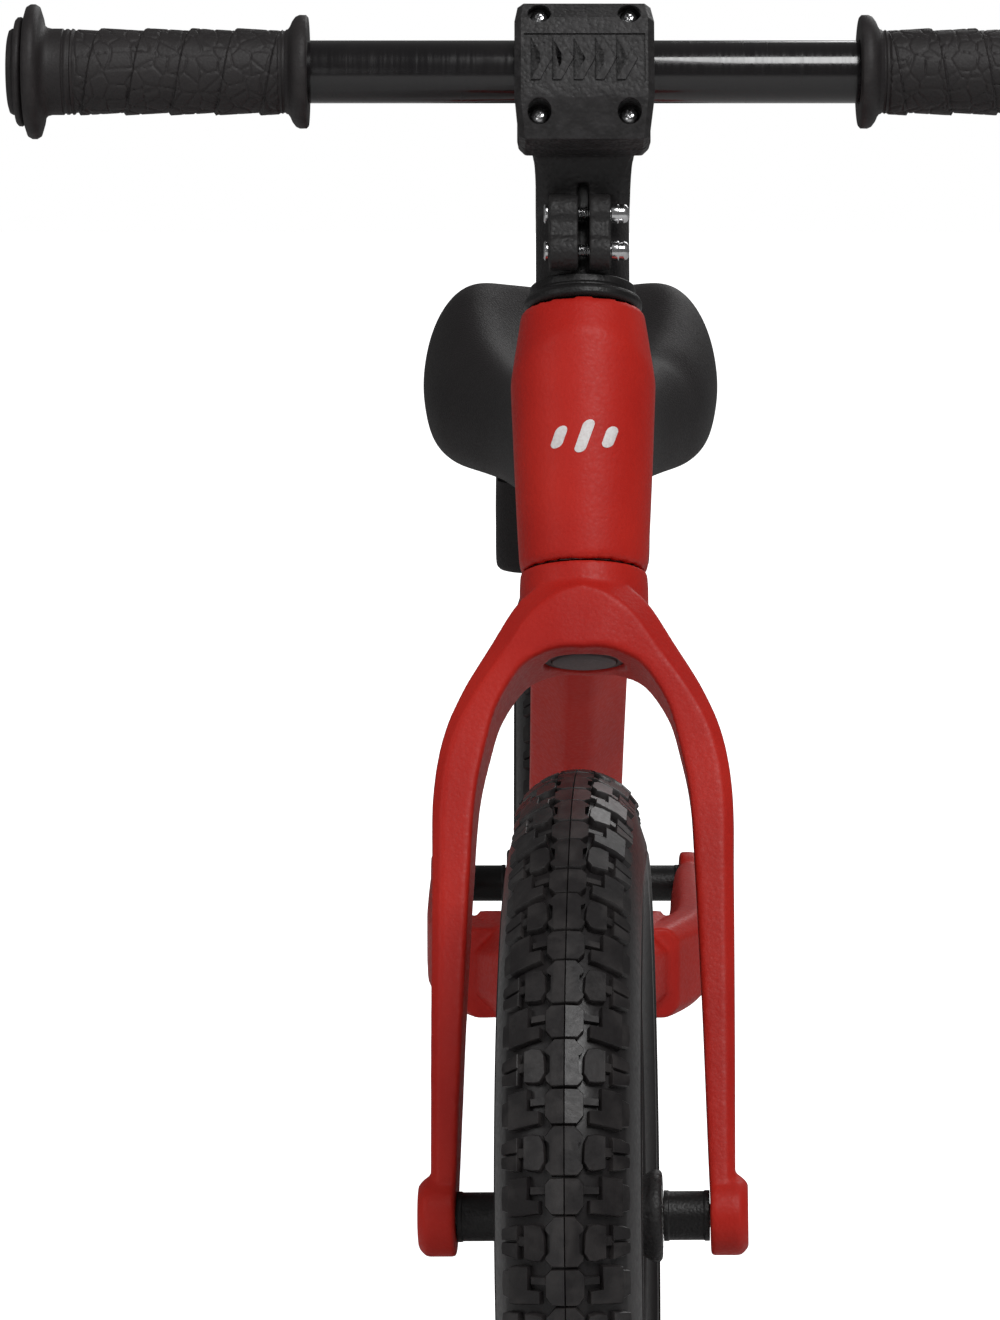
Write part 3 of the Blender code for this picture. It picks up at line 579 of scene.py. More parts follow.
def tyre_rubber():
    """Tyre compound: dull, faintly brown, dusty in the grooves, knob edges lighter as rubbing and as a
    painted highlight, with a mould bloom.
    """
    finish = Finish("tyre rubber", Specular_IOR_Level=0.42)
    w = finish.wiring
    grain = finish.group(GRAIN, Scale=900.0, Coarse_share=0.4)
    wear = finish.group(WEAR, Amount=0.6, Scale=130.0)
    dust = finish.group(DUST, Amount=0.12)
    body = w.blend(grain.outputs["Tone"], (0.010, 0.0085, 0.009, 1.0), (0.018, 0.0155, 0.016, 1.0))
    # Knob edges lightened: partly rubbed rubber, partly a painted highlight on the knob tops.
    rubbed_and_highlit = w.blend(wear.outputs["Edge"], body, (0.05, 0.045, 0.044, 1.0))
    finish.colour(w.blend(dust.outputs["Mask"], rubbed_and_highlit, (0.12, 0.105, 0.098, 1.0)))
    rough = w.math('ADD', w.remap(grain.outputs["Height"], 0.2, 0.9, 0.30, 0.50),
                   w.math('MULTIPLY', dust.outputs["Mask"], 0.2), True)
    finish.roughness(rough)
    finish.bump(grain.outputs["Height"], 0.3, 0.0002)
    return finish.material


def grip_rubber():
    """Soft grip compound, with fine creases between the raised cells."""
    finish = Finish("grip rubber", Specular_IOR_Level=0.4)
    w = finish.wiring
    grain = finish.group(GRAIN, Scale=1500.0, Coarse_share=0.4)
    wear = finish.group(WEAR, Amount=0.45, Scale=160.0)
    body = w.blend(grain.outputs["Tone"], (0.019, 0.0165, 0.017, 1.0), (0.028, 0.0245, 0.025, 1.0))
    finish.colour(w.blend(wear.outputs["Edge"], body, (0.075, 0.066, 0.066, 1.0)))
    finish.roughness(w.remap(grain.outputs["Height"], 0.2, 0.9, 0.5, 0.68))
    finish.bump(grain.outputs["Height"], 0.6, 0.0003)
    return finish.material


def saddle_skin():
    """Soft-touch integral skin foam: very fine pebble grain and a slow change of sheen."""
    finish = Finish("saddle skin", Specular_IOR_Level=0.3, Sheen_Weight=0.02, Sheen_Roughness=0.5)
    w = finish.wiring
    grain = finish.group(GRAIN, Scale=2100.0, Coarse_share=0.9)
    wear = finish.group(WEAR, Amount=0.3, Scale=70.0)
    dust = finish.group(DUST, Amount=0.02)
    body = w.blend(grain.outputs["Tone"], (0.0115, 0.0095, 0.010, 1.0), (0.017, 0.0142, 0.0148, 1.0))
    worn = w.blend(wear.outputs["Scuff"], body, (0.026, 0.0225, 0.023, 1.0))
    finish.colour(w.blend(dust.outputs["Mask"], worn, (0.14, 0.125, 0.12, 1.0)))
    finish.roughness(w.remap(grain.outputs["Height"], 0.2, 0.9, 0.5, 0.66))
    finish.bump(grain.outputs["Height"], 0.5, 0.0003)
    return finish.material


def gloss_enamel():
    """Black gloss enamel on steel tube: slight waviness and hairline rubs under a clear coat."""
    finish = Finish("black gloss enamel", Specular_IOR_Level=0.5, Coat_Roughness=0.05)
    finish.shader.inputs["Coat Weight"].default_value = 0.5
    w = finish.wiring
    grain = finish.group(GRAIN, Scale=260.0, Coarse_share=0.5)
    wear = finish.group(WEAR, Amount=0.4, Scale=300.0)
    stretch = w.add('ShaderNodeMapping')
    stretch.inputs["Scale"].default_value = (900.0, 40.0, 40.0)
    w.link(finish.place, stretch.inputs["Vector"])
    hairs = w.noise(stretch.outputs["Vector"], 1.0, 3.0)
    body = w.blend(grain.outputs["Tone"], (0.006, 0.005, 0.006, 1.0), (0.010, 0.0085, 0.009, 1.0))
    finish.colour(w.blend(wear.outputs["Scuff"], body, (0.022, 0.02, 0.02, 1.0)))
    finish.roughness(w.remap(hairs, 0.35, 0.75, 0.13, 0.3))
    finish.bump(grain.outputs["Height"], 0.05, 0.0002)
    return finish.material


def bright_metal(name, colour, low, high, scratch=0.12):
    """Plated metal with fine turning marks and small dull spots."""
    finish = Finish(name, metallic=1.0)
    w = finish.wiring
    grain = finish.group(GRAIN, Scale=1300.0, Coarse_share=0.4)
    wear = finish.group(WEAR, Amount=0.5, Scale=420.0)
    shade = tuple(channel * 0.72 for channel in colour[:3]) + (1.0,)
    body = w.blend(grain.outputs["Tone"], colour, shade)
    finish.colour(w.blend(w.math('MULTIPLY', wear.outputs["Scuff"], 0.6), body, (0.22, 0.2, 0.18, 1.0)))
    finish.roughness(w.remap(grain.outputs["Height"], 0.25, 0.9, low, high))
    finish.bump(grain.outputs["Height"], scratch, 0.0001)
    return finish.material


def print_white():
    """Pad-printed white ink, slightly patchy."""
    finish = Finish("white print", Specular_IOR_Level=0.5)
    w = finish.wiring
    grain = finish.group(GRAIN, Scale=1150.0, Coarse_share=0.8)
    patchy = w.remap(w.noise(finish.place, 700.0, 4.0), 0.3, 0.6)
    finish.colour(w.blend(patchy, (0.78, 0.7, 0.69, 1.0), (0.9, 0.88, 0.87, 1.0)))
    finish.roughness(w.remap(grain.outputs["Height"], 0.2, 0.9, 0.4, 0.55))
    finish.bump(grain.outputs["Height"], 0.3, 0.0002)
    return finish.material


def floor_paint():
    """Pale matt floor that glows a little, so that it stays white to the camera."""
    finish = Finish("studio floor", 0.9, Specular_IOR_Level=0.1)
    w = finish.wiring
    cloud = w.remap(w.noise(finish.place, 3.0), 0.3, 0.7)
    finish.colour(w.blend(cloud, (0.70, 0.70, 0.70, 1.0), (0.72, 0.72, 0.72, 1.0)))
    finish.shader.inputs["Emission Color"].default_value = (1.0, 1.0, 1.0, 1.0)
    seen = w.add('ShaderNodeLightPath').outputs["Is Camera Ray"]
    w.link(w.remap(seen, 0.0, 1.0, 0.02, 1.2), finish.shader.inputs["Emission Strength"])
    return finish.material


RED = powder_coat()
NYLON = moulded_plastic("black nylon")
FINE_NYLON = moulded_plastic("black nylon fine", 0.008, 1700.0, 0.3, 0.34, 0.48)
TYRE = tyre_rubber()
GRIP = grip_rubber()
SKIN = saddle_skin()
ENAMEL = gloss_enamel()
CHROME = bright_metal("polished chrome", (0.80, 0.80, 0.81, 1.0), 0.12, 0.24, 0.04)
ZINC = bright_metal("zinc plate", (0.56, 0.56, 0.55, 1.0), 0.26, 0.44, 0.25)
INK = print_white()
PLUG_GREY = moulded_plastic("grey plug", 0.12, 1500.0, 0.2, 0.5, 0.65)


# ---------------------------------------------------------------- fork casting
def leg_ring(side, row):
    """Section of a leg between its outer and inner edge, with its own outer and inner chamfers."""
    outer_x, outer_z, inner_x, inner_z, forward, deep, cut_out, cut_in = row
    outer = Vector((side * outer_x, -forward, outer_z))
    inner = Vector((side * inner_x, -forward, inner_z))
    span = outer - inner
    half = span.length / 2.0
    along = span.normalized()
    middle = (outer + inner) / 2.0
    slant_out = min(cut_out, deep * 0.6)
    slant_in = min(cut_in, deep * 0.6)
    corners = (
        (half, -deep + slant_out), (half, deep - slant_out),
        (half - cut_out, deep), (-half + cut_in, deep),
        (-half, deep - slant_in), (-half, -deep + slant_in),
        (-half + cut_in, -deep), (half - cut_out, -deep),
    )
    return [middle + along * across + BACK * depth for across, depth in corners]


def axle_cutter(lug_outer, into):
    """Tool for the axle hole and the bolt pockets in both lugs."""
    seat = lug_outer - BOLT_SINK
    beyond = lug_outer + 12.0
    return spin("axle_cutter", [
        (0.0, -beyond), (BOLT_POCKET, -beyond), (BOLT_POCKET, -seat), (AXLE_HOLE, -seat),
        (AXLE_HOLE, seat), (BOLT_POCKET, seat), (BOLT_POCKET, beyond), (0.0, beyond)], 48, into, 0.0)


def boss(name, side, inner, outer, radius, chamfer, into):
    """Round lug about an axle, chamfered on its outer face."""
    near, far = side * inner, side * outer
    return spin(name, [(0.0, near), (radius, near), (radius, far - side * chamfer), (radius - chamfer, far),
                       (0.0, far)], 64, into, 0.0)


def fork_casting():
    """Crown, two arched legs and the axle lugs as one casting."""
    # Outer edge (x, z), inner edge (x, z), forward, half depth, outer chamfer, inner chamfer
    rows = (
        (0.0, 229.0, 0.0, 199.0, 1.5, 24.6, 7.5, 1.2),
        (11.0, 226.0, 6.0, 199.2, 1.8, 24.2, 8.0, 1.2),
        (22.4, 217.6, 12.5, 198.0, 2.4, 22.6, 8.0, 1.2),
        (32.4, 202.0, 21.5, 192.8, 3.4, 20.2, 6.4, 1.2),
        (42.2, 185.4, 29.6, 180.0, 5.2, 18.0, 5.0, 1.1),
        (49.0, 168.4, 33.6, 166.0, 7.5, 16.2, 3.9, 1.1),
        (52.3, 147.3, 37.2, 147.0, 10.5, 14.8, 3.4, 1.1),
        (52.4, 120.0, 38.9, 120.0, 14.0, 13.6, 3.2, 1.1),
        (52.2, 70.0, 41.0, 70.0, 20.0, 12.0, 2.9, 1.0),
        (51.8, 20.0, 42.6, 20.0, 25.6, 11.0, 2.6, 0.9),
        (51.6, 0.0, 43.4, 0.0, FORK_OFFSET, 10.6, 2.4, 0.9),
    )
    crown = spin("fork_casting", [
        (0.0, 198.8), (19.0, 198.8), (22.4, 201.5), (23.1, 212.0), (23.0, 226.0), (22.7, 231.5),
        (0.0, 231.5)], 96, None, 0.0)
    for side in SIDES:
        combine(crown, skin("leg", [leg_ring(side, row) for row in smooth_rows(rows, 7)]))
        combine(crown, boss("lug", side, LUG_INNER, LUG_OUTER, LUG_RADIUS, 2.6, LUG_LINE))
    drill(crown, STEERER_FIT, 190.0, 240.0, 72)
    combine(crown, axle_cutter(LUG_OUTER, LUG_LINE), 'DIFFERENCE')
    cast(crown, FORK_CELL, 3)
    place(crown, STEERED, RED, "fork", ["fork"], 0)


# ---------------------------------------------------------------- frame casting
def head_radius(angle, height):
    """Radius of the head tube; the full section reaches higher at the front than at the sides."""
    foot, full, top = 22.8, 26.2, 22.2
    front = 0.5 + 0.5 * math.cos(angle)
    shoulder = HEAD_LOW + 68.0 + 15.0 * front ** 3
    if height <= shoulder:
        return foot + 3.4 * ((height - HEAD_LOW) / (shoulder - HEAD_LOW)) ** 0.8
    return full + (top - full) * (height - shoulder) / (HEAD_HIGH - shoulder)


def head_tube():
    """Head tube skin with its front shoulder, as a solid."""
    rings = []
    levels = 70
    for level in range(levels + 1):
        height = HEAD_LOW + (HEAD_HIGH - HEAD_LOW) * level / levels
        inset = 0.9 if level in (0, levels) else 0.0
        ring = []
        for index in range(120):
            angle = 2.0 * math.pi * index / 120
            radius = head_radius(angle, height) - inset
            ring.append((radius * math.sin(angle), -radius * math.cos(angle), height))
        rings.append(ring)
    return skin("frame_casting", rings)


def keel_ring(row):
    """Down-tube section: narrow flat keel below, full width at the middle."""
    along, half_wide, above, below, flat = row
    slope = Vector((0.0, 1.0, -0.87)).normalized()
    rise = Vector((0.0, 0.87, 1.0)).normalized()
    centre = Vector((0.0, -148.0, 374.0)) + slope * along
    outline = (
        (half_wide, 2.0), (half_wide * 0.88, above * 0.6), (half_wide * 0.55, above),
        (-half_wide * 0.55, above), (-half_wide * 0.88, above * 0.6), (-half_wide, 2.0),
        (-half_wide, below * -0.35), (-flat, -below), (flat, -below), (half_wide, below * -0.35),
    )
    return [centre + ACROSS * across + rise * height for across, height in outline]


def frame_casting():
    """Head tube, down tube, yoke, seat tube, stays and dropouts as one casting."""
    body = head_tube()
    body.data.transform(HEAD_IN_BIKE)
    # Distance down the tube, half width, height above and below its line, half width of the keel
    tube_rows = (
        (6.0, 17.2, 26.0, 17.0, 5.0), (60.0, 18.25, 21.0, 19.0, 4.8),
        (170.0, 18.25, 18.5, 19.0, 4.8), (240.0, 18.8, 18.5, 19.5, 5.2), (290.0, 20.0, 19.0, 20.0, 6.0),
    )
    combine(body, skin("down_tube", [keel_ring(row) for row in smooth_rows(tube_rows, 8)]))
    # Place back and up, half width, half height, cut corner
    yoke_rows = ((30.0, 168.0, 15.0, 17.0, 6.0), (66.0, 156.5, 34.0, 20.5, 11.0),
                 (96.0, 154.0, 45.0, 20.8, 12.0), (116.0, 153.5, 50.5, 20.6, 12.0))
    yoke_rings = [cut_corner_ring((0.0, y, z), ACROSS, UP, half, tall, cut)
                  for y, z, half, tall, cut in smooth_rows(yoke_rows, 6)]
    combine(body, skin("yoke", yoke_rings))
    combine(body, rod("seat_tube", 17.0, 4.0, SEAT_TUBE_HIGH, 72, SEAT_IN_BIKE))
    # Place back, out and up, half width, half height, cut corner
    stay_rows = ((84.0, 36.0, 153.6, 9.0, 19.6, 5.0), (116.0, 48.2, 153.2, 10.6, 19.8, 6.0),
                 (150.0, 52.4, 152.4, 9.2, 17.4, 5.0), (205.0, 54.2, 151.8, 7.8, 15.2, 4.2),
                 (254.0, 55.8, 151.8, 5.8, 13.4, 2.8), (HALF_BASE - 4.0, 57.2, 152.0, 3.9, 11.0, 2.2))
    for side in SIDES:
        rings = [cut_corner_ring((side * x, y, z), ACROSS, UP, wide, tall, cut)
                 for y, x, z, wide, tall, cut in smooth_rows(stay_rows, 7)]
        combine(body, skin("stay", rings))
        combine(body, boss("dropout", side, DROPOUT_INNER, DROPOUT_OUTER, DROPOUT_RADIUS, 1.8,
                           REAR_IN_BIKE))
    cup, core = 19.8, 17.0
    bore = [(0.0, HEAD_LOW - 5.0), (cup, HEAD_LOW - 5.0), (cup, HEAD_LOW + 8.0), (core, HEAD_LOW + 8.0),
            (core, HEAD_HIGH - 8.0), (cup, HEAD_HIGH - 8.0), (cup, HEAD_HIGH + 5.0), (0.0, HEAD_HIGH + 5.0)]
    combine(body, spin("bore", bore, 76, HEAD_IN_BIKE, 0.0), 'DIFFERENCE')
    combine(body, axle_cutter(DROPOUT_OUTER, REAR_IN_BIKE), 'DIFFERENCE')
    drill(body, POST_FIT, 28.0, SEAT_TUBE_HIGH + 10.0, 72, SEAT_IN_BIKE)
    cast(body, FRAME_CELL, 6)
    place(body, WORLD, RED, "frame", ["frame"], 0)


def head_emblem():
    """Three slanted rounded strokes printed on the front of the head tube."""
    half_wide, slant, points = 2.1, 0.35, 28
    lifts = ((1.0, 0.02), (1.0, 0.16), (0.86, 0.24), (0.3, 0.24))
    strokes = []
    for number, (middle, tall) in enumerate(((-9.0, 8.0), (0.0, 12.0), (9.0, 8.0))):
        bm = bmesh.new()
        rim = []
        for index in range(points):
            angle = 2.0 * math.pi * index / points
            across = half_wide * math.cos(angle)
            along = half_wide * math.sin(angle) + math.copysign(tall / 2.0 - half_wide, math.sin(angle))
            rim.append((middle + across + along * slant, EMBLEM_MIDDLE + along))
        rings = []
        for scale, lift in lifts:
            ring = []
            for x, z in rim:
                flat_x = middle + (x - middle) * scale
                flat_z = EMBLEM_MIDDLE + (z - EMBLEM_MIDDLE) * scale
                angle = math.asin(flat_x / head_radius(0.0, flat_z))
                radius = head_radius(angle, flat_z) + lift
                ring.append(bm.verts.new((radius * math.sin(angle), -radius * math.cos(angle), flat_z)))
            rings.append(ring)
        link_rings(bm, rings)
        bm.faces.new(rings[-1])
        bm.faces.new(list(reversed(rings[0])))
        strokes.append(new_object("head_emblem" if number == 0 else "stroke", bm))
    emblem = join(strokes[0], strokes[1:])
    place(emblem, HEAD, INK, "frame", (), 40.0)


# ---------------------------------------------------------------- tyres
def carcass_point(across):
    """(radius, half width, outward direction) of the tyre floor at a distance across the crown."""
    angle = across / CROWN_BEND
    radius = CROWN_RADIUS - CROWN_BEND * (1.0 - math.cos(angle)) * 0.92
    half = CROWN_BEND * math.sin(angle) * 0.84
    out = Vector((math.cos(angle), math.sin(angle) * 0.92)).normalized()
    return radius, half, out


def tread_knob(bm, outline, height):
    """One knob: a block on the crown with drafted walls and a broken top edge."""
    draft, chamfer, sunk = 0.35, 0.28, -0.7
    middle = sum((Vector(point) for point in outline), Vector((0.0, 0.0))) / len(outline)
    rings = []
    for shrink, lift in ((-draft, sunk), (0.0, height - chamfer), (chamfer, height)):
        ring = []
        for point in outline:
            flat = Vector(point)
            inward = middle - flat
            flat = flat + inward.normalized() * min(shrink, inward.length * 0.5)
            radius, half, out = carcass_point(flat.x)
            reach = radius + out.x * lift
            turn = flat.y / CROWN_RADIUS
            ring.append(bm.verts.new((reach * math.cos(turn), reach * math.sin(turn), half + out.y * lift)))
        rings.append(ring)
    link_rings(bm, rings)
    bm.faces.new(rings[-1])


def tread_pitch():
    """All knobs of one repeat of the tread, on both sides of the centre line, open below."""
    unit = 2.0 * math.pi * CROWN_RADIUS / TREAD_REPEATS / 28.0
    # Each knob's outline, as (across in millimetres, along in 28ths of a repeat), and its height
    knobs = (
        # centre pair with arrow-shaped ends, and the plain pair between
        (((0.1, 0.3), (3.4, 0.3), (6.4, 3.2), (6.4, 4.4), (4.9, 5.6), (4.9, 11.4), (6.4, 12.8), (6.2, 14.0),
          (4.4, 15.7), (0.1, 15.7)), 2.7),
        (((0.1, 16.5), (4.8, 16.5), (6.6, 18.2), (6.6, 25.2), (4.4, 27.7), (0.1, 27.7)), 2.5),
        # square blocks beside the arrow pair
        (((6.9, 5.6), (8.2, 3.2), (11.0, 2.6), (14.4, 3.0), (14.4, 13.4), (10.6, 14.2), (8.4, 14.0),
          (6.6, 11.6)), 2.6),
        # bars that tie the rows together
        (((6.4, 19.0), (12.4, 19.0), (12.4, 21.4), (6.4, 21.4)), 1.7),
        (((14.2, 6.4), (18.4, 6.4), (18.4, 9.6), (14.2, 9.6)), 1.5),
        # L-shaped side blocks
        (((8.6, 23.4), (13.0, 23.2), (13.0, 15.8), (17.4, 15.9), (21.2, 16.4), (21.2, 28.4), (17.0, 28.2),
          (8.6, 27.4)), 2.6),
        # double shoulder knobs
        (((17.4, 3.0), (22.0, 3.4), (25.2, 4.2), (25.6, 6.2), (25.2, 7.8), (17.4, 7.8)), 2.1),
        (((17.4, 8.6), (25.2, 8.6), (25.6, 10.4), (25.2, 12.4), (22.0, 13.2), (17.4, 13.8)), 2.1),
        (((21.9, 17.6), (25.6, 18.2), (26.2, 22.4), (25.6, 26.4), (21.9, 27.2)), 1.6),
    )
    bm = bmesh.new()
    for side in SIDES:
        for outline, height in knobs:
            tread_knob(bm, [(side * across, along * unit) for across, along in outline], height)
    return new_object("tread_pitch", bm)


def ring_tree():
    """Geometry tree that sets copies of a block round an axle and joins them to the carcass."""
    tree, w, given, result = start_tree("Blocks round a wheel", (("Block", 'Object'), ("Repeats", 'Int')))
    block = w.add('GeometryNodeObjectInfo')
    w.link(given.outputs["Block"], block.inputs["Object"])
    points = w.add('GeometryNodePoints')
    w.link(given.outputs["Repeats"], points.inputs["Count"])
    index = w.add('GeometryNodeInputIndex')
    share = w.math('DIVIDE', index.outputs[0], given.outputs["Repeats"])
    angle = w.math('MULTIPLY', share, 2.0 * math.pi)
    turn = w.add('ShaderNodeCombineXYZ')
    w.link(angle, turn.inputs["Z"])
    copies = w.add('GeometryNodeInstanceOnPoints')
    w.link(points.outputs[0], copies.inputs["Points"])
    w.link(block.outputs["Geometry"], copies.inputs["Instance"])
    w.link(turn.outputs[0], copies.inputs["Rotation"])
    both = w.add('GeometryNodeJoinGeometry')
    w.link(given.outputs["Geometry"], both.inputs[0])
    w.link(copies.outputs[0], both.inputs[0])
    end_tree(w, both.outputs[0], given, result)
    return tree


def set_inputs(modifier, **values):
    """Set a geometry modifier's inputs by their sockets' identifiers."""
    for item in modifier.node_group.interface.items_tree:
        if item.item_type == 'SOCKET' and item.in_out == 'INPUT' and item.name in values:
            modifier[item.identifier] = values[item.name]


def tyre_carcass(name):
    """Casing with ridged sidewalls and open beads."""
    crown_edge, count = 26.5, 22
    outer = [carcass_point(crown_edge * index / count)[:2] for index in range(count + 1)]
    # Sidewall outside from the crown down to the bead, and back up inside, as (radius, across)
    side = [(127.0, 22.6), (124.0, 22.9), (123.6, 23.3), (122.6, 23.3), (122.2, 22.7), (119.4, 22.2),
            (119.0, 22.6), (118.0, 22.4), (117.6, 21.6), (113.0, 19.4), (111.0, 18.6), (110.6, 19.0),
            (109.6, 18.6), (109.2, 17.4), (108.0, 15.6), (103.5, 14.9), (102.3, 13.6), (103.5, 12.3),
            (108.5, 12.4), (120.0, 19.4), (130.0, 20.0), (138.0, 17.0), (143.0, 13.0), (146.0, 7.0)]
    half_outline = outer + side
    mirrored = [(radius, -across) for radius, across in reversed(half_outline)]
    outline = [(146.6, 0.0)] + mirrored[:-1] + half_outline
    return spin(name, outline, 160, None, 0.0)


def make_tyre(end, hub, pitch, tree):
    """Tyre with its tread, plain mesh, about its own axle."""
    carcass = tyre_carcass("tyre_" + end + "_tread")
    blocks = carcass.modifiers.new("tread", 'NODES')
    blocks.node_group = tree
    set_inputs(blocks, Block=pitch, Repeats=TREAD_REPEATS, Finish=TYRE)
    settle(carcass)
    place(carcass, hub, TYRE, end + "_wheel", ["tyre_" + end], 38.0)


def make_wheel(end, hub):
    """One-piece moulded wheel: rim, six waisted spokes and hub melted together."""
    rim = spin("wheel_" + end + "_moulding", [
        (107.0, 17.8), (107.0, 16.0), (101.5, 15.3), (97.5, 10.0), (97.5, -10.0), (101.5, -15.3),
        (107.0, -16.0), (107.0, -17.8), (99.0, -17.3), (91.0, -9.5), (91.0, 9.5), (99.0, 17.3)],
        144, None, 0.3)
    hub_blank = spin("hub_blank", [
        (11.3, HUB_HALF), (15.7, HUB_HALF), (15.7, 23.5), (13.6, 21.0), (13.6, -21.0), (15.7, -23.5),
        (15.7, -HUB_HALF), (11.3, -HUB_HALF), (11.3, -19.7), (8.5, -19.7), (8.5, 19.7), (11.3, 19.7)],
        96, None, 0.3)
    combine(rim, hub_blank)
    # Distance from the axle, half width, half depth, cut corner
    stations = ((11.8, 8.5, 13.0, 2.4), (22.0, 7.2, 11.2, 2.4), (40.0, 6.0, 9.0, 2.2),
                (60.0, 5.6, 7.8, 2.0), (78.0, 6.2, 7.6, 2.0), (93.5, 9.5, 8.6, 2.0))
    for index in range(SPOKES):
        angle = math.pi / 2.0 + 2.0 * math.pi * index / SPOKES
        out = Vector((math.cos(angle), math.sin(angle), 0.0))
        flat = Vector((-math.sin(angle), math.cos(angle), 0.0))
        rings = [cut_corner_ring(out * reach, flat, UP, wide, deep, cut)
                 for reach, wide, deep, cut in smooth_rows(stations, 5)]
        combine(rim, skin("spoke", rings))
    cast(rim, WHEEL_CELL, 3)
    place(rim, hub, NYLON, end + "_wheel", ["wheel_" + end], 0)


def shield_bearing(name, side, node, end, hub):
    """Hub ball bearing: races, pressed shield and bore."""
    outer_face = HUB_HALF - 0.3
    face, shield, inner_face = [side * (outer_face - depth) for depth in (0.0, 0.5, 6.7)]
    outline = [(AXLE_FIT, face), (5.6, face), (5.9, shield), (9.2, shield), (9.5, face),
               (11.0, face), (11.0, inner_face), (AXLE_FIT, inner_face)]
    ring = spin(name, outline, 72, None, 0.12)
    place(ring, hub, ZINC, end + "_wheel", [node])


def axle_parts(end, hub, lug_inner, lug_outer, body):
    """Bearings, spacers and socket-head axle bolts on both sides of a hub."""
    for side, label in zip(SIDES, ("left", "right")):
        node = end + "_" + label
        shield_bearing("bearing_shield_" + node, side, "bearing_" + node, end, hub)
        low, high = sorted((side * (HUB_HALF + 0.3), side * (lug_inner - 0.3)))
        spacer = spin("spacer_sleeve_" + node, [
            (AXLE_FIT, low), (8.6, low), (8.6, low + 1.6), (8.3, low + 2.0), (8.3, high - 2.0),
            (8.6, high - 1.6), (8.6, high), (AXLE_FIT, high)], 72, None, 0.3)
        place(spacer, hub, FINE_NYLON, body, ["spacer_" + node])
        head = lug_outer - BOLT_SINK + 0.3
        bolt = spin("axle_bolt_head_" + node, [
            (0.0, lug_outer - 17.0), (2.4, lug_outer - 17.0), (2.4, head), (7.0, head), (7.0, head + 1.5),
            (5.4, head + 3.2), (0.0, head + 3.2)], 64, None, 0.3)
        drill(bolt, 2.9, head + 1.0, head + 8.0, 6)
        outward = hub if side > 0.0 else hub @ Matrix.Rotation(math.pi, 4, 'X')
        place(bolt, outward, ZINC, body, ["axle_bolt_" + node])


def inside_parts():
    """Round parts inside the bike keep their solids and get a finish of their own."""
    finishes = (("axle_front", ZINC), ("axle_rear", ZINC), ("sleeve_", ZINC), ("headset_bearing", ZINC),
                ("steerer_tube", FINE_NYLON), ("inner_tube", TYRE))
    for node, obj in frame["nodes"].items():
        for start, finish in finishes:
            if node.startswith(start):
                dress(obj, finish)


def make_valve(end, hub):
    """Valve stem with its cap."""
    down = Matrix.Rotation(-math.pi / 2.0, 4, 'Y')
    outline = [(1.2, 76.0), (2.9, 76.0), (3.1, 77.0), (3.1, 82.4), (2.7, 83.0), (2.6, 86.0), (3.9, 87.0),
               (3.9, 100.0), (1.2, 100.0)]
    stem = spin("valve_stem_" + end, outline, 32, down, 0.15)
    place(stem, hub, FINE_NYLON, end + "_wheel", ["valve_" + end])


# ---------------------------------------------------------------- headset and stem
def head_parts():
    """Collar, steerer plug and top cap."""
    collar = spin("headset_collar_ring", [
        (STEERER_FIT, HEAD_HIGH + 0.3), (20.2, HEAD_HIGH + 0.3), (21.5, HEAD_HIGH + 1.7),
        (21.5, HEAD_HIGH + 3.3), (20.9, HEAD_HIGH + 4.6), (19.6, HEAD_HIGH + 5.2), (18.9, HEAD_HIGH + 5.4),
        (18.9, HEAD_HIGH + 6.1), (19.3, HEAD_HIGH + 6.5), (19.1, COLLAR_HIGH - 0.6), (18.2, COLLAR_HIGH),
        (STEERER_FIT, COLLAR_HIGH)], 128, None, 0.25)
    place(collar, STEERED, FINE_NYLON, "fork", ["headset_collar"])
    plug = spin("steerer_end_plug", [
        (0.0, 198.4), (9.0, 198.4), (11.4, 199.0), (11.7, 200.4), (11.7, 211.6), (0.0, 211.6)],
        96, None, 0.3)
    place(plug, STEERED, PLUG_GREY, "fork", ["steerer_plug"])
    cap = spin("stem_cap_disc", [
        (3.4, NECK_HIGH + 0.3), (15.0, NECK_HIGH + 0.3), (15.0, NECK_HIGH + 2.0), (13.4, NECK_HIGH + 3.4),
        (8.0, NECK_HIGH + 3.4), (7.0, NECK_HIGH + 2.9), (3.4, NECK_HIGH + 2.9)], 96, None, 0.3)
    place(cap, HEAD, FINE_NYLON, "stem", ["stem_top_cap"])
    bolt = spin("top_cap_screw", [
        (0.0, NECK_HIGH - 12.0), (3.0, NECK_HIGH - 12.0), (3.0, NECK_HIGH + 3.2), (5.0, NECK_HIGH + 3.2),
        (5.0, NECK_HIGH + 5.4), (3.8, NECK_HIGH + 6.6), (0.0, NECK_HIGH + 6.6)], 64, None, 0.3)
    drill(bolt, 2.3, NECK_HIGH + 4.2, NECK_HIGH + 12.0, 6)
    place(bolt, HEAD, ZINC, "stem", ["top_cap_bolt"])


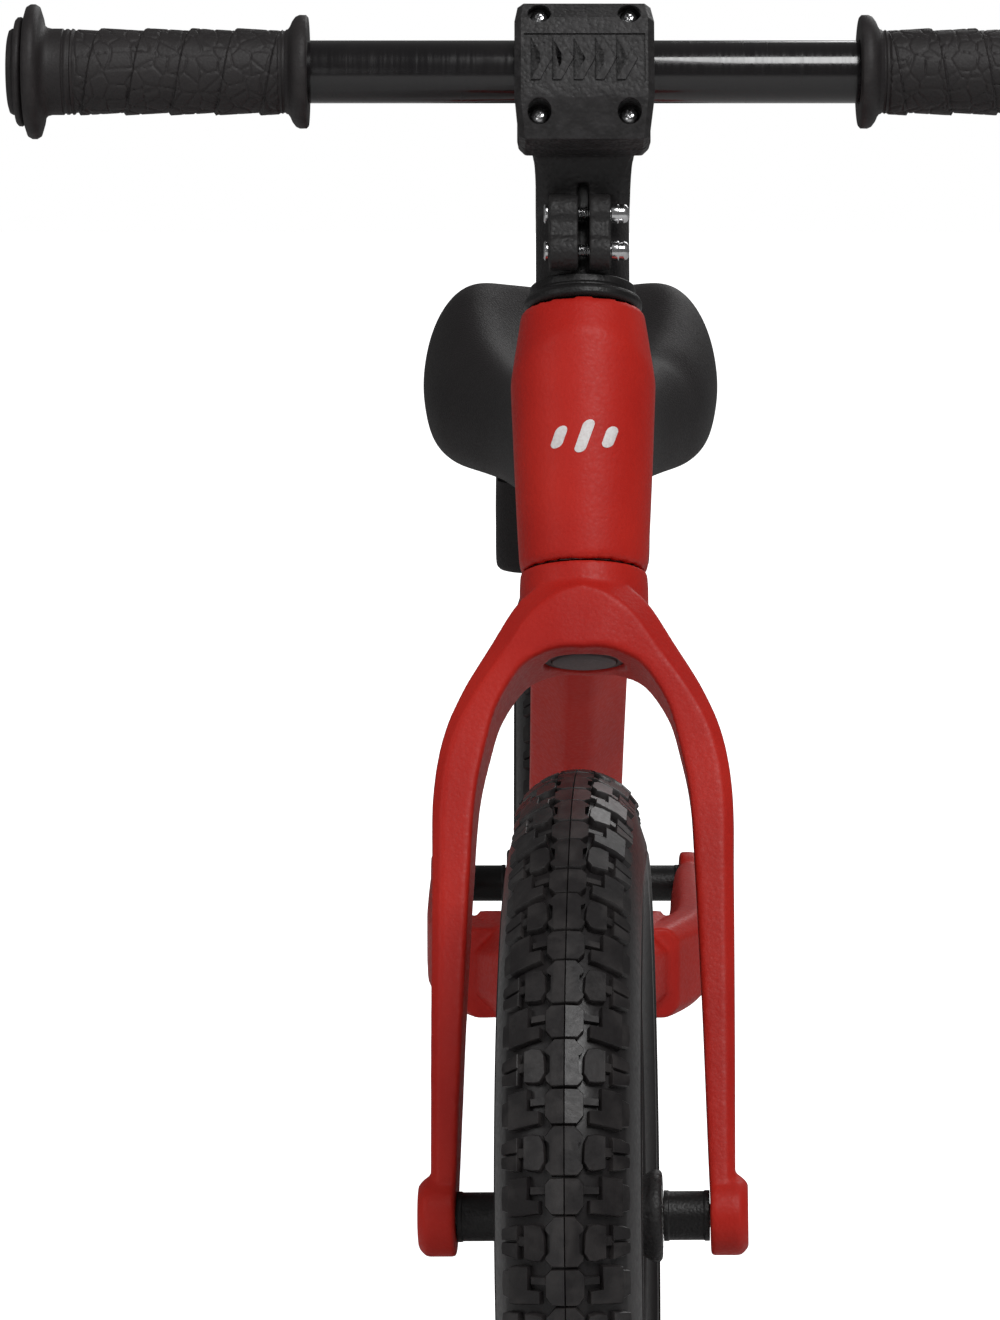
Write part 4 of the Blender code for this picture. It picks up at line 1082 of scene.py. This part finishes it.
def stem_body():
    """Split neck that flares into the rear half of the bar clamp."""
    body = rod("stem_moulding", 17.0, COLLAR_HIGH + 0.3, NECK_HIGH, 96)
    # Place back and up, half width, half height, cut corner
    rows = (
        (11.0, 370.0, 12.0, 10.0, 5.0), (2.0, 371.0, 16.6, 12.5, 5.0), (-8.0, 377.0, 17.0, 16.0, 4.5),
        (-15.0, 386.0, 17.2, 18.5, 4.2), (-20.0, 395.0, 17.7, 20.5, 3.4), (-23.5, 401.5, 19.0, 22.2, 2.6),
        (-25.6, 404.8, 21.8, 24.4, 2.4),
    )
    rings = [cut_corner_ring((0.0, y, z), ACROSS, UP, half, tall, cut)
             for y, z, half, tall, cut in smooth_rows(rows, 6)]
    combine(body, skin("flare", rings))
    shoulder = [cut_corner_ring((0.0, y, 404.8), ACROSS, UP, half, tall, 2.4)
                for y, half, tall in ((-25.0, 21.0, 24.0), (-27.0, 23.4, 25.2), (-34.8, 24.0, 25.3))]
    combine(body, skin("clamp_half", shoulder))
    for line in PINCH_LINES:
        combine(body, rod("lobe", 6.9, -12.5, 9.6, 48, line))
    bridge = [cut_corner_ring((x, -17.6, SLOT_MIDDLE), BACK, UP, 8.4, 12.0, 1.0) for x in (-12.2, 9.3)]
    combine(body, skin("bridge", bridge))
    drill(body, 15.5, NECK_HIGH, NECK_HIGH + 30.0)
    drill(body, STEERER_FIT, 330.0, 400.0, 80)
    drill(body, BAR_FIT, -40.0, 40.0, 80, BAR_LINE)
    slot = [cut_corner_ring((0.0, y, SLOT_MIDDLE), ACROSS, UP, 2.0, 19.5, 0.4) for y in (-34.0, -8.0)]
    combine(body, skin("slot", slot), 'DIFFERENCE')
    for line in PINCH_LINES:
        drill(body, 2.8, -20.0, 20.0, 32, line)
    cast(body, STEM_CELL, 3)
    place(body, HEAD, NYLON, "stem", ["stem"], 0)


def face_plate():
    """Bevelled clamp plate with a framed panel of raised chevrons and four screw pockets."""
    back = -REACH - 0.2
    front = -52.3
    upper_edge, lower_edge = 422.6, 393.0
    # Side view of the plate as (depth, height), narrower in its top and bottom rows
    lines = ((back, CLAMP_LOW + 0.3), (back, CLAMP_TOP - 0.3), (-46.4, CLAMP_TOP - 0.3),
             (front, upper_edge), (front, lower_edge), (-45.8, CLAMP_LOW + 0.3))
    rings = []
    for across, front_share, rise_share in ((-STEM_HALF, 0.86, 0.955), (-STEM_HALF + 2.3, 1.0, 1.0),
                                            (STEM_HALF - 2.3, 1.0, 1.0), (STEM_HALF, 0.86, 0.955)):
        ring = []
        for depth, height in lines:
            drawn_in = 1.0
            if height > upper_edge + 0.4:
                drawn_in = 0.955
            elif height < CLAMP_LOW + 0.8:
                drawn_in = 0.93
            ring.append(Vector((across * drawn_in, back + (depth - back) * front_share,
                                CLAMP_MIDDLE + (height - CLAMP_MIDDLE) * rise_share)))
        rings.append(ring)
    plate = skin("face_plate_moulding", rings)
    drill(plate, BAR_FIT, -40.0, 40.0, 80, BAR_LINE)
    recess = [cut_corner_ring((0.0, y, PANEL_MIDDLE), ACROSS, UP, 21.6, 9.3, 0.3) for y in (-60.0, -51.5)]
    combine(plate, skin("recess", recess), 'DIFFERENCE')
    for line in SCREW_LINES:
        drill(plate, 4.3, 43.0, 60.0, 48, line)
        drill(plate, 2.7, 30.0, 60.0, 24, line)
    bevelled(plate, 0.35)
    outline = ((-4.6, -8.0), (-1.4, -8.0), (3.0, 0.0), (-1.4, 8.0), (-4.6, 8.0), (-0.2, 0.0))
    pitch, centring = 7.6, 0.8
    chevrons = []
    for number in range(5):
        middle = (number - 2) * pitch + centring
        bm = bmesh.new()
        levels = []
        for y, inset in ((-51.2, 0.0), (-52.0, 0.0), (-52.2, 0.25)):
            ring = []
            for x, z in outline:
                pull = Vector((-centring - x, -z)).normalized() * inset
                ring.append(bm.verts.new((middle + x + pull.x, y, PANEL_MIDDLE + z + pull.y)))
            levels.append(ring)
        link_rings(bm, levels)
        bm.faces.new(levels[0])
        bm.faces.new(list(reversed(levels[-1])))
        bmesh.ops.triangulate(bm, faces=[face for face in bm.faces if len(face.verts) > 4])
        chevrons.append(new_object("chevron", bm))
    join(plate, chevrons)
    place(plate, HEAD, NYLON, "stem", ["stem_face_plate"], 35.0)


def cross_screw(name, outline, line, node, depth):
    """Screw with a cross recess in its head."""
    screw = spin(name, outline, 48, None, 0.2)
    top = max(point[1] for point in outline)
    tilt = 0.5
    for turn in (tilt, tilt + math.pi / 2.0):
        blade = Matrix.Rotation(turn, 4, 'Z')
        rings = []
        for height, half in ((top - depth, 0.8), (top + 1.0, 2.5)):
            ring = cut_corner_ring((0.0, 0.0, height), ACROSS, BACK, half, 0.42, 0.1)
            rings.append([blade @ point for point in ring])
        combine(screw, skin("blade", rings), 'DIFFERENCE')
    place(screw, HEAD @ line, CHROME, "stem", [node], 35.0)


def stem_screws():
    """Four face-plate screws, two pinch bolts and their dome nuts."""
    head = [(0.0, 25.0), (2.4, 25.0), (2.4, 43.3), (3.3, 43.3), (3.3, 44.2), (2.7, 45.3), (1.5, 45.9),
            (0.0, 46.1)]
    for number, line in enumerate(SCREW_LINES, 1):
        cross_screw("face_screw_head_" + str(number), head, line, "face_screw_" + str(number), 1.8)
    threads = []
    turn_low = -4.0
    while turn_low < 4.0:
        threads.extend([(2.45, turn_low), (2.1, turn_low + 0.4)])
        turn_low += 0.8
    shank = [(0.0, -14.3), (2.8, -14.3), (3.6, -13.8), (3.6, -12.8), (2.5, -12.8), (2.5, -4.4)] + threads
    shank += [(2.5, 4.2), (2.5, 12.2), (0.0, 12.4)]
    for number, line in enumerate(PINCH_LINES, 1):
        bolt = spin("pinch_bolt_shank_" + str(number), shank, 48, None, 0.08)
        drill(bolt, 1.9, -20.0, -13.4, 6)
        place(bolt, HEAD @ line, CHROME, "stem", ["pinch_bolt_" + str(number)])
        nut = spin("dome_nut_cap_" + str(number), [
            (2.8, 9.9), (3.7, 9.9), (3.7, 12.2), (3.45, 12.6), (3.45, 14.4), (3.1, 15.5), (2.2, 16.2),
            (0.0, 16.45), (0.0, 13.0), (2.8, 12.9)], 64, None, 0.25)
        place(nut, HEAD @ line, CHROME, "stem", ["dome_nut_" + str(number)])


# ---------------------------------------------------------------- bar and grips
def handlebar():
    """Straight steel tube."""
    bore = 9.2
    tube = spin("bar_tube", [(bore, -BAR_HALF), (BAR_RADIUS, -BAR_HALF), (BAR_RADIUS, BAR_HALF),
                             (bore, BAR_HALF)], 128, None, 0.4)
    place(tube, BAR_RIGHT, ENAMEL, "handlebar", ["handlebar"])


def crackle_tree():
    """Geometry tree that presses a net of creases into the part of a skin marked soft."""
    tree, w, given, result = start_tree("Pressed creases", (
        ("Cell size", 'Float'), ("Crease depth", 'Float'), ("Crease width", 'Float')))
    spot = w.add('GeometryNodeInputPosition')
    cells = w.add('ShaderNodeTexVoronoi', feature='DISTANCE_TO_EDGE')
    w.link(spot.outputs[0], cells.inputs["Vector"])
    w.link(w.math('DIVIDE', 1.0, given.outputs["Cell size"]), cells.inputs["Scale"])
    near = w.math('DIVIDE', cells.outputs["Distance"], given.outputs["Crease width"])
    groove = w.math('SUBTRACT', 1.0, near, True)
    soft = w.add('GeometryNodeInputNamedAttribute', data_type='FLOAT')
    soft.inputs["Name"].default_value = "soft"
    depth = w.math('MULTIPLY', w.math('MULTIPLY', groove, soft.outputs["Attribute"]),
                   given.outputs["Crease depth"])
    normal = w.add('GeometryNodeInputNormal')
    push = w.add('ShaderNodeVectorMath', operation='SCALE')
    w.link(normal.outputs[0], push.inputs[0])
    w.link(w.math('MULTIPLY', depth, -1.0), push.inputs["Scale"])
    move = w.add('GeometryNodeSetPosition')
    w.link(given.outputs["Geometry"], move.inputs["Geometry"])
    w.link(push.outputs[0], move.inputs["Offset"])
    end_tree(w, move.outputs[0], given, result)
    return tree


def wrap_lift(along, angle, hand):
    """Height of the spiral wrap: each turn rises slowly, then steps down at its edge."""
    turns = (along - GRIP_WRAP_START) / (GRIP_WRAP_END - GRIP_WRAP_START) * GRIP_TURNS
    phase = (turns + hand * angle / (2.0 * math.pi)) % 1.0
    fall = max(0.0, (phase - 0.965) / 0.035)
    groove = max(0.0, 1.0 - abs(phase - 0.012) / 0.014)
    return 0.1 + 0.95 * phase - 1.1 * fall - 0.22 * groove


def make_grip(side, label, into, tree):
    """Grip with flanges, ring grooves and a spiral wrap with creased skin."""
    bm = bmesh.new()
    soft = bm.verts.layers.float.new("soft")
    steps = 168
    rings = []
    # Flange at each end as (radius, distance along the bar); the outer one closes over the bar's end
    inner_end = [(BAR_FIT, 98.7), (19.4, 98.7), (20.2, 99.4), (20.25, 101.8), (19.6, 103.2), (18.0, 104.4),
                 (16.2, 105.2), (15.2, 105.9), (15.0, 106.6), (14.6, 106.9), (14.6, 107.5), (15.0, 107.9)]
    outer_end = [(15.2, 182.4), (15.4, 183.0), (14.9, 183.4), (14.9, 184.0), (15.3, 184.4), (15.3, 185.2),
                 (14.9, 185.6), (14.9, 186.1), (15.4, 186.5), (15.4, 190.6), (15.8, 192.2), (17.0, 193.4),
                 (20.4, 194.0), (23.2, 194.9), (24.0, 196.2), (24.0, 197.8), (23.2, 199.2), (21.0, 199.9),
                 (18.2, 200.0), (18.0, 200.3), (19.0, 200.7), (19.5, 201.4), (19.4, 202.5), (18.6, 203.2),
                 (15.6, 203.3), (15.3, 203.6), (15.4, 204.6), (14.8, 205.6), (13.4, 206.0), (0.0, 206.0)]
    stations = [(r, h, False) for r, h in inner_end]
    for index in range(GRIP_STATIONS + 1):
        along = GRIP_WRAP_START + (GRIP_WRAP_END - GRIP_WRAP_START) * index / GRIP_STATIONS
        stations.append((GRIP_SKIN, along, True))
    stations += [(r, h, False) for r, h in outer_end]
    stations += [(0.0, 202.7, False), (BAR_FIT, 202.7, False)]
    for index in range(steps):
        angle = 2.0 * math.pi * index / steps
        ring = []
        for radius, height, wrapped in stations:
            ends = min(1.0, height - GRIP_WRAP_START, GRIP_WRAP_END - height)
            reach = radius
            if wrapped:
                reach = radius + wrap_lift(height, angle, -side) * max(ends, 0.3)
            vert = bm.verts.new((reach * math.cos(angle), reach * math.sin(angle), height))
            vert[soft] = max(0.0, ends) if wrapped else 0.0
            ring.append(vert)
        rings.append(ring)
    count = len(stations)
    for index in range(steps):
        here = rings[index]
        following = rings[(index + 1) % steps]
        for place_in in range(count):
            after = (place_in + 1) % count
            if stations[place_in][0] == 0.0 and stations[after][0] == 0.0:
                continue
            bm.faces.new((here[place_in], following[place_in], following[after], here[after]))
    grip = new_object("grip_sleeve_" + label, bm)
    creases = grip.modifiers.new("creases", 'NODES')
    creases.node_group = tree
    set_inputs(creases, **{"Cell size": 6.0, "Crease depth": 0.42, "Crease width": 0.085, "Finish": GRIP})
    settle(grip)
    place(grip, into, GRIP, "handlebar", ["grip_" + label], 50.0)


# ---------------------------------------------------------------- saddle
def saddle_ring(row):
    """Section of the cushion across the bike: dished top, full sides, skirt drawn in below."""
    y, half, middle, rim, skirt, tuck = row
    tall = rim - skirt
    dish = rim - middle
    right = (
        (0.0, middle), (0.22 * half, middle + 0.06 * dish), (0.45 * half, middle + 0.4 * dish),
        (0.64 * half, rim - 0.03 * tall), (0.78 * half, rim - 0.07 * tall),
        (0.89 * half, rim - 0.18 * tall), (0.965 * half, rim - 0.34 * tall),
        (half, rim - 0.54 * tall), (0.985 * half, rim - 0.72 * tall),
        (0.94 * half, rim - 0.87 * tall), (0.87 * half - tuck * 0.3, rim - 0.965 * tall),
        (0.80 * half - tuck, skirt), (0.5 * half, skirt + 0.6), (0.0, skirt + 0.8),
    )
    curve = smooth_rows(right, 4)
    ring = [Vector((x, y, z)) for x, z in curve]
    ring += [Vector((-point.x, y, point.z)) for point in reversed(ring[1:-1])]
    return ring


def saddle_cushion():
    """Saddle pad with raised tail, narrow pommel and rounded wings, closed at both ends."""
    # Place back, half width, height of the middle, of the rim and of the skirt, draw-in of the skirt
    rows = (
        (-50.5, 3.0, 398.0, 398.0, 392.0, 0.0), (-49.0, 9.0, 403.0, 402.5, 385.0, 0.2),
        (-44.0, 15.5, 408.5, 407.5, 375.5, 0.6), (-32.0, 20.5, 411.5, 410.5, 368.5, 1.0),
        (-10.0, 25.0, 410.8, 410.5, 366.0, 1.5), (22.0, 29.0, 408.2, 409.0, 365.2, 2.0),
        (55.0, 35.5, 406.8, 409.5, 364.9, 2.5), (85.0, 46.0, 407.8, 413.0, 364.6, 3.0),
        (112.0, 56.5, 412.0, 420.5, 364.4, 3.0), (136.0, 61.8, 419.5, 430.0, 364.9, 2.8),
        (155.0, 62.4, 428.0, 438.0, 367.0, 2.4), (168.0, 58.0, 434.0, 440.0, 372.5, 1.6),
        (176.0, 48.0, 434.5, 436.5, 382.0, 0.8), (180.0, 32.0, 428.0, 428.0, 396.0, 0.2),
        (181.0, 14.0, 419.0, 419.0, 407.0, 0.0),
    )
    pad = skin("saddle_pad", [saddle_ring(row) for row in smooth_rows(rows, 5)])
    round_off = pad.modifiers.new("round", 'SMOOTH')
    round_off.factor = 0.5
    round_off.iterations = 4
    finer = pad.modifiers.new("finer", 'SUBSURF')
    finer.levels = 1
    finer.render_levels = 1
    settle(pad)
    for vert in pad.data.vertices:
        spot = vert.co
        across_fold = (spot.y - 96.0 - 0.5 * (spot.x - 40.0)) / 7.0
        along_fold = (spot.x - 44.0) / 13.0
        fold = math.exp(-across_fold ** 2 - along_fold ** 2)
        dip = math.exp(-((spot.y - 60.0) / 42.0) ** 2 - (spot.x / 26.0) ** 2)
        if spot.z > 385.0:
            spot.z -= 1.6 * fold + 1.2 * dip
    place(pad, WORLD, SKIN, "saddle", ["saddle_cushion"], 0)


def rounded_plan(height, half_wide, front, back, corner):
    """Ring of a rounded rectangle seen from above."""
    ring = []
    wide = half_wide - corner
    centres = ((wide, back - corner), (-wide, back - corner),
               (-wide, front + corner), (wide, front + corner))
    for quarter, (centre_x, centre_y) in enumerate(centres):
        for step in range(9):
            angle = math.radians(90.0 * (quarter + step / 8))
            ring.append((centre_x + corner * math.cos(angle), centre_y + corner * math.sin(angle), height))
    return ring


def saddle_base():
    """Moulded base: a shroud round the post that flares up into the pan."""
    # Height, half width, front, back, corner radius
    rows = ((325.3, 28.5, 68.5, 159.5, 13.0), (326.4, 30.4, 65.0, 163.0, 14.5),
            (330.0, 31.6, 62.6, 165.0, 15.0), (345.0, 31.75, 60.0, 166.0, 15.0),
            (356.0, 31.75, 58.0, 166.0, 15.0), (363.6, 31.0, 56.0, 166.0, 15.0))
    body = skin("saddle_shroud", [rounded_plan(*row) for row in smooth_rows(rows, 5)])
    # Outline of the pan as (place back, half width)
    stations = ((-34.0, 6.0), (-24.0, 11.0), (20.0, 16.0), (70.0, 24.0), (112.0, 30.6), (148.0, 31.0),
                (160.0, 24.0))
    rings = []
    for height, inset in ((359.2, 1.6), (360.0, 0.2), (362.2, 0.0), (363.0, 0.8)):
        right = [Vector((half - inset, y, height)) for y, half in smooth_rows(stations, 6)]
        rings.append(right + [Vector((-p.x, p.y, p.z)) for p in reversed(right)])
    combine(body, skin("pan", rings))
    drill(body, POST_FIT, 150.0, 205.3, 72, SEAT_IN_BIKE)
    line = SEAT_IN_BIKE @ Matrix.Translation((0.0, 0.0, SADDLE_SCREW_HEIGHT)) @ FORWARD.inverted()
    drill(body, 3.1, 8.0, 80.0, 24, line)
    drill(body, 6.4, 30.0, 80.0, 40, line)
    place(body, WORLD, SKIN, "saddle", ["saddle_base"], 40.0)
    screw = spin("saddle_clamp_screw_head", [
        (0.0, 14.0), (2.8, 14.0), (2.8, 30.3), (5.4, 30.3), (5.4, 34.6), (0.0, 34.6)], 48, None, 0.3)
    drill(screw, 2.4, 31.6, 40.0, 6)
    place(screw, WORLD @ line, ZINC, "saddle", ["saddle_clamp_screw"])


def seat_clamp():
    """Post, split collar, its bolt and nut."""
    post = spin("seat_post_tube", [(11.6, 40.0), (13.6, 40.0), (13.6, 205.0), (11.6, 205.0)], 96, None, 0.4)
    place(post, SEAT, ENAMEL, "saddle", ["seat_post"])
    low, high = SEAT_TUBE_HIGH - 15.0, SEAT_TUBE_HIGH - 0.5
    collar = spin("seat_clamp_collar", [(17.3, low), (19.4, low), (20.0, low + 0.8), (20.0, high - 0.8),
                                        (19.4, high), (17.3, high)], 96, None, 0.0)
    ears = [cut_corner_ring((0.0, y, SEAT_CLAMP_MIDDLE), ACROSS, UP, 8.0, 6.5, 1.5) for y in (18.4, 31.0)]
    combine(collar, skin("ears", ears))
    cut = [cut_corner_ring((0.0, y, SEAT_CLAMP_MIDDLE), ACROSS, UP, 1.2, 12.0, 0.3) for y in (14.0, 36.0)]
    combine(collar, skin("cut", cut), 'DIFFERENCE')
    ear_line = Matrix.Translation((0.0, 25.6, SEAT_CLAMP_MIDDLE)) @ SIDEWAYS
    drill(collar, 2.8, -14.0, 14.0, 32, ear_line)
    bevelled(collar, 0.4)
    place(collar, SEAT, FINE_NYLON, "frame", ["seat_clamp"])
    bolt = spin("seat_clamp_bolt_head", [(0.0, -12.4), (4.2, -12.4), (4.2, -8.3), (2.5, -8.3), (2.5, 12.6),
                                         (0.0, 12.6)], 48, None, 0.25)
    drill(bolt, 2.2, -20.0, -10.4, 6)
    place(bolt, SEAT @ ear_line, ZINC, "frame", ["seat_clamp_bolt"])
    nut = spin("seat_clamp_hex_nut", [(3.2, 8.3), (4.7, 8.3), (4.7, 12.0), (3.2, 12.0)], 6, None, 0.3)
    place(nut, SEAT @ ear_line, ZINC, "frame", ["seat_clamp_nut"], 20.0)


# ---------------------------------------------------------------- studio
def studio():
    """Pale floor, soft lights and the camera."""
    bm = bmesh.new()
    corners = ((-FLOOR_HALF, -FLOOR_HALF), (FLOOR_HALF, -FLOOR_HALF), (FLOOR_HALF, FLOOR_HALF),
               (-FLOOR_HALF, FLOOR_HALF))
    bm.faces.new([bm.verts.new((x, y, 0.0)) for x, y in corners])
    floor = new_object("studio_floor", bm, False)
    floor.data.materials.append(floor_paint())

    world = bpy.data.worlds.new("studio")
    world.use_nodes = True
    w = Wiring(world.node_tree)
    backdrop = world.node_tree.nodes["Background"]
    seen = w.add('ShaderNodeLightPath').outputs["Is Camera Ray"]
    w.link(w.remap(seen, 0.0, 1.0, ROOM_LIGHT, 1.0), backdrop.inputs["Strength"])
    backdrop.inputs["Color"].default_value = (1.0, 1.0, 1.0, 1.0)
    bpy.context.scene.world = world
    # Name, place, width of the soft box, watts
    lamps = (
        ("key", (0.65, -1.7, 2.2), 1.0, 32.0), ("fill", (-1.9, -1.2, 1.5), 0.9, 5.0),
        ("low", (-0.9, -2.4, 0.7), 0.8, 3.0), ("back", (0.9, 2.2, 1.7), 1.2, 12.0),
    )
    for name, spot, size, power in lamps:
        light = bpy.data.lights.new(name, 'AREA')
        light.shape = 'SQUARE'
        light.size = size
        light.energy = power
        lamp = bpy.data.objects.new(name, light)
        lamp.location = spot
        lamp.rotation_euler = (Vector(LAMP_AIM) - Vector(spot)).to_track_quat('-Z', 'Y').to_euler()
        bpy.context.scene.collection.objects.link(lamp)

    view = bpy.data.cameras.new("camera")
    view.sensor_fit = 'VERTICAL'
    view.sensor_height = 36.0
    view.lens = CAMERA_LENS
    view.clip_start = 0.05
    camera = bpy.data.objects.new("camera", view)
    camera.location = CAMERA_SPOT
    camera.rotation_euler = (math.radians(90.0 - CAMERA_DOWN), 0.0, 0.0)
    bpy.context.scene.collection.objects.link(camera)
    bpy.context.scene.camera = camera
    bpy.context.scene.view_settings.view_transform = 'Standard'
    bpy.context.scene.view_settings.look = 'None'


studio()
fork_casting()
frame_casting()
head_emblem()
TREAD = tread_pitch()
RING = ring_tree()
for end_name, hub_frame, lug_inner, lug_outer, holder in (
        ("front", FRONT_HUB, LUG_INNER, LUG_OUTER, "fork"),
        ("rear", REAR_HUB, DROPOUT_INNER, DROPOUT_OUTER, "frame")):
    make_tyre(end_name, hub_frame, TREAD, RING)
    make_wheel(end_name, hub_frame)
    axle_parts(end_name, hub_frame, lug_inner, lug_outer, holder)
    make_valve(end_name, hub_frame)
bpy.data.objects.remove(TREAD, do_unlink=True)
inside_parts()
head_parts()
stem_body()
face_plate()
stem_screws()
handlebar()
CREASES = crackle_tree()
make_grip(-1.0, "left", BAR_LEFT, CREASES)
make_grip(1.0, "right", BAR_RIGHT, CREASES)
saddle_cushion()
saddle_base()
seat_clamp()
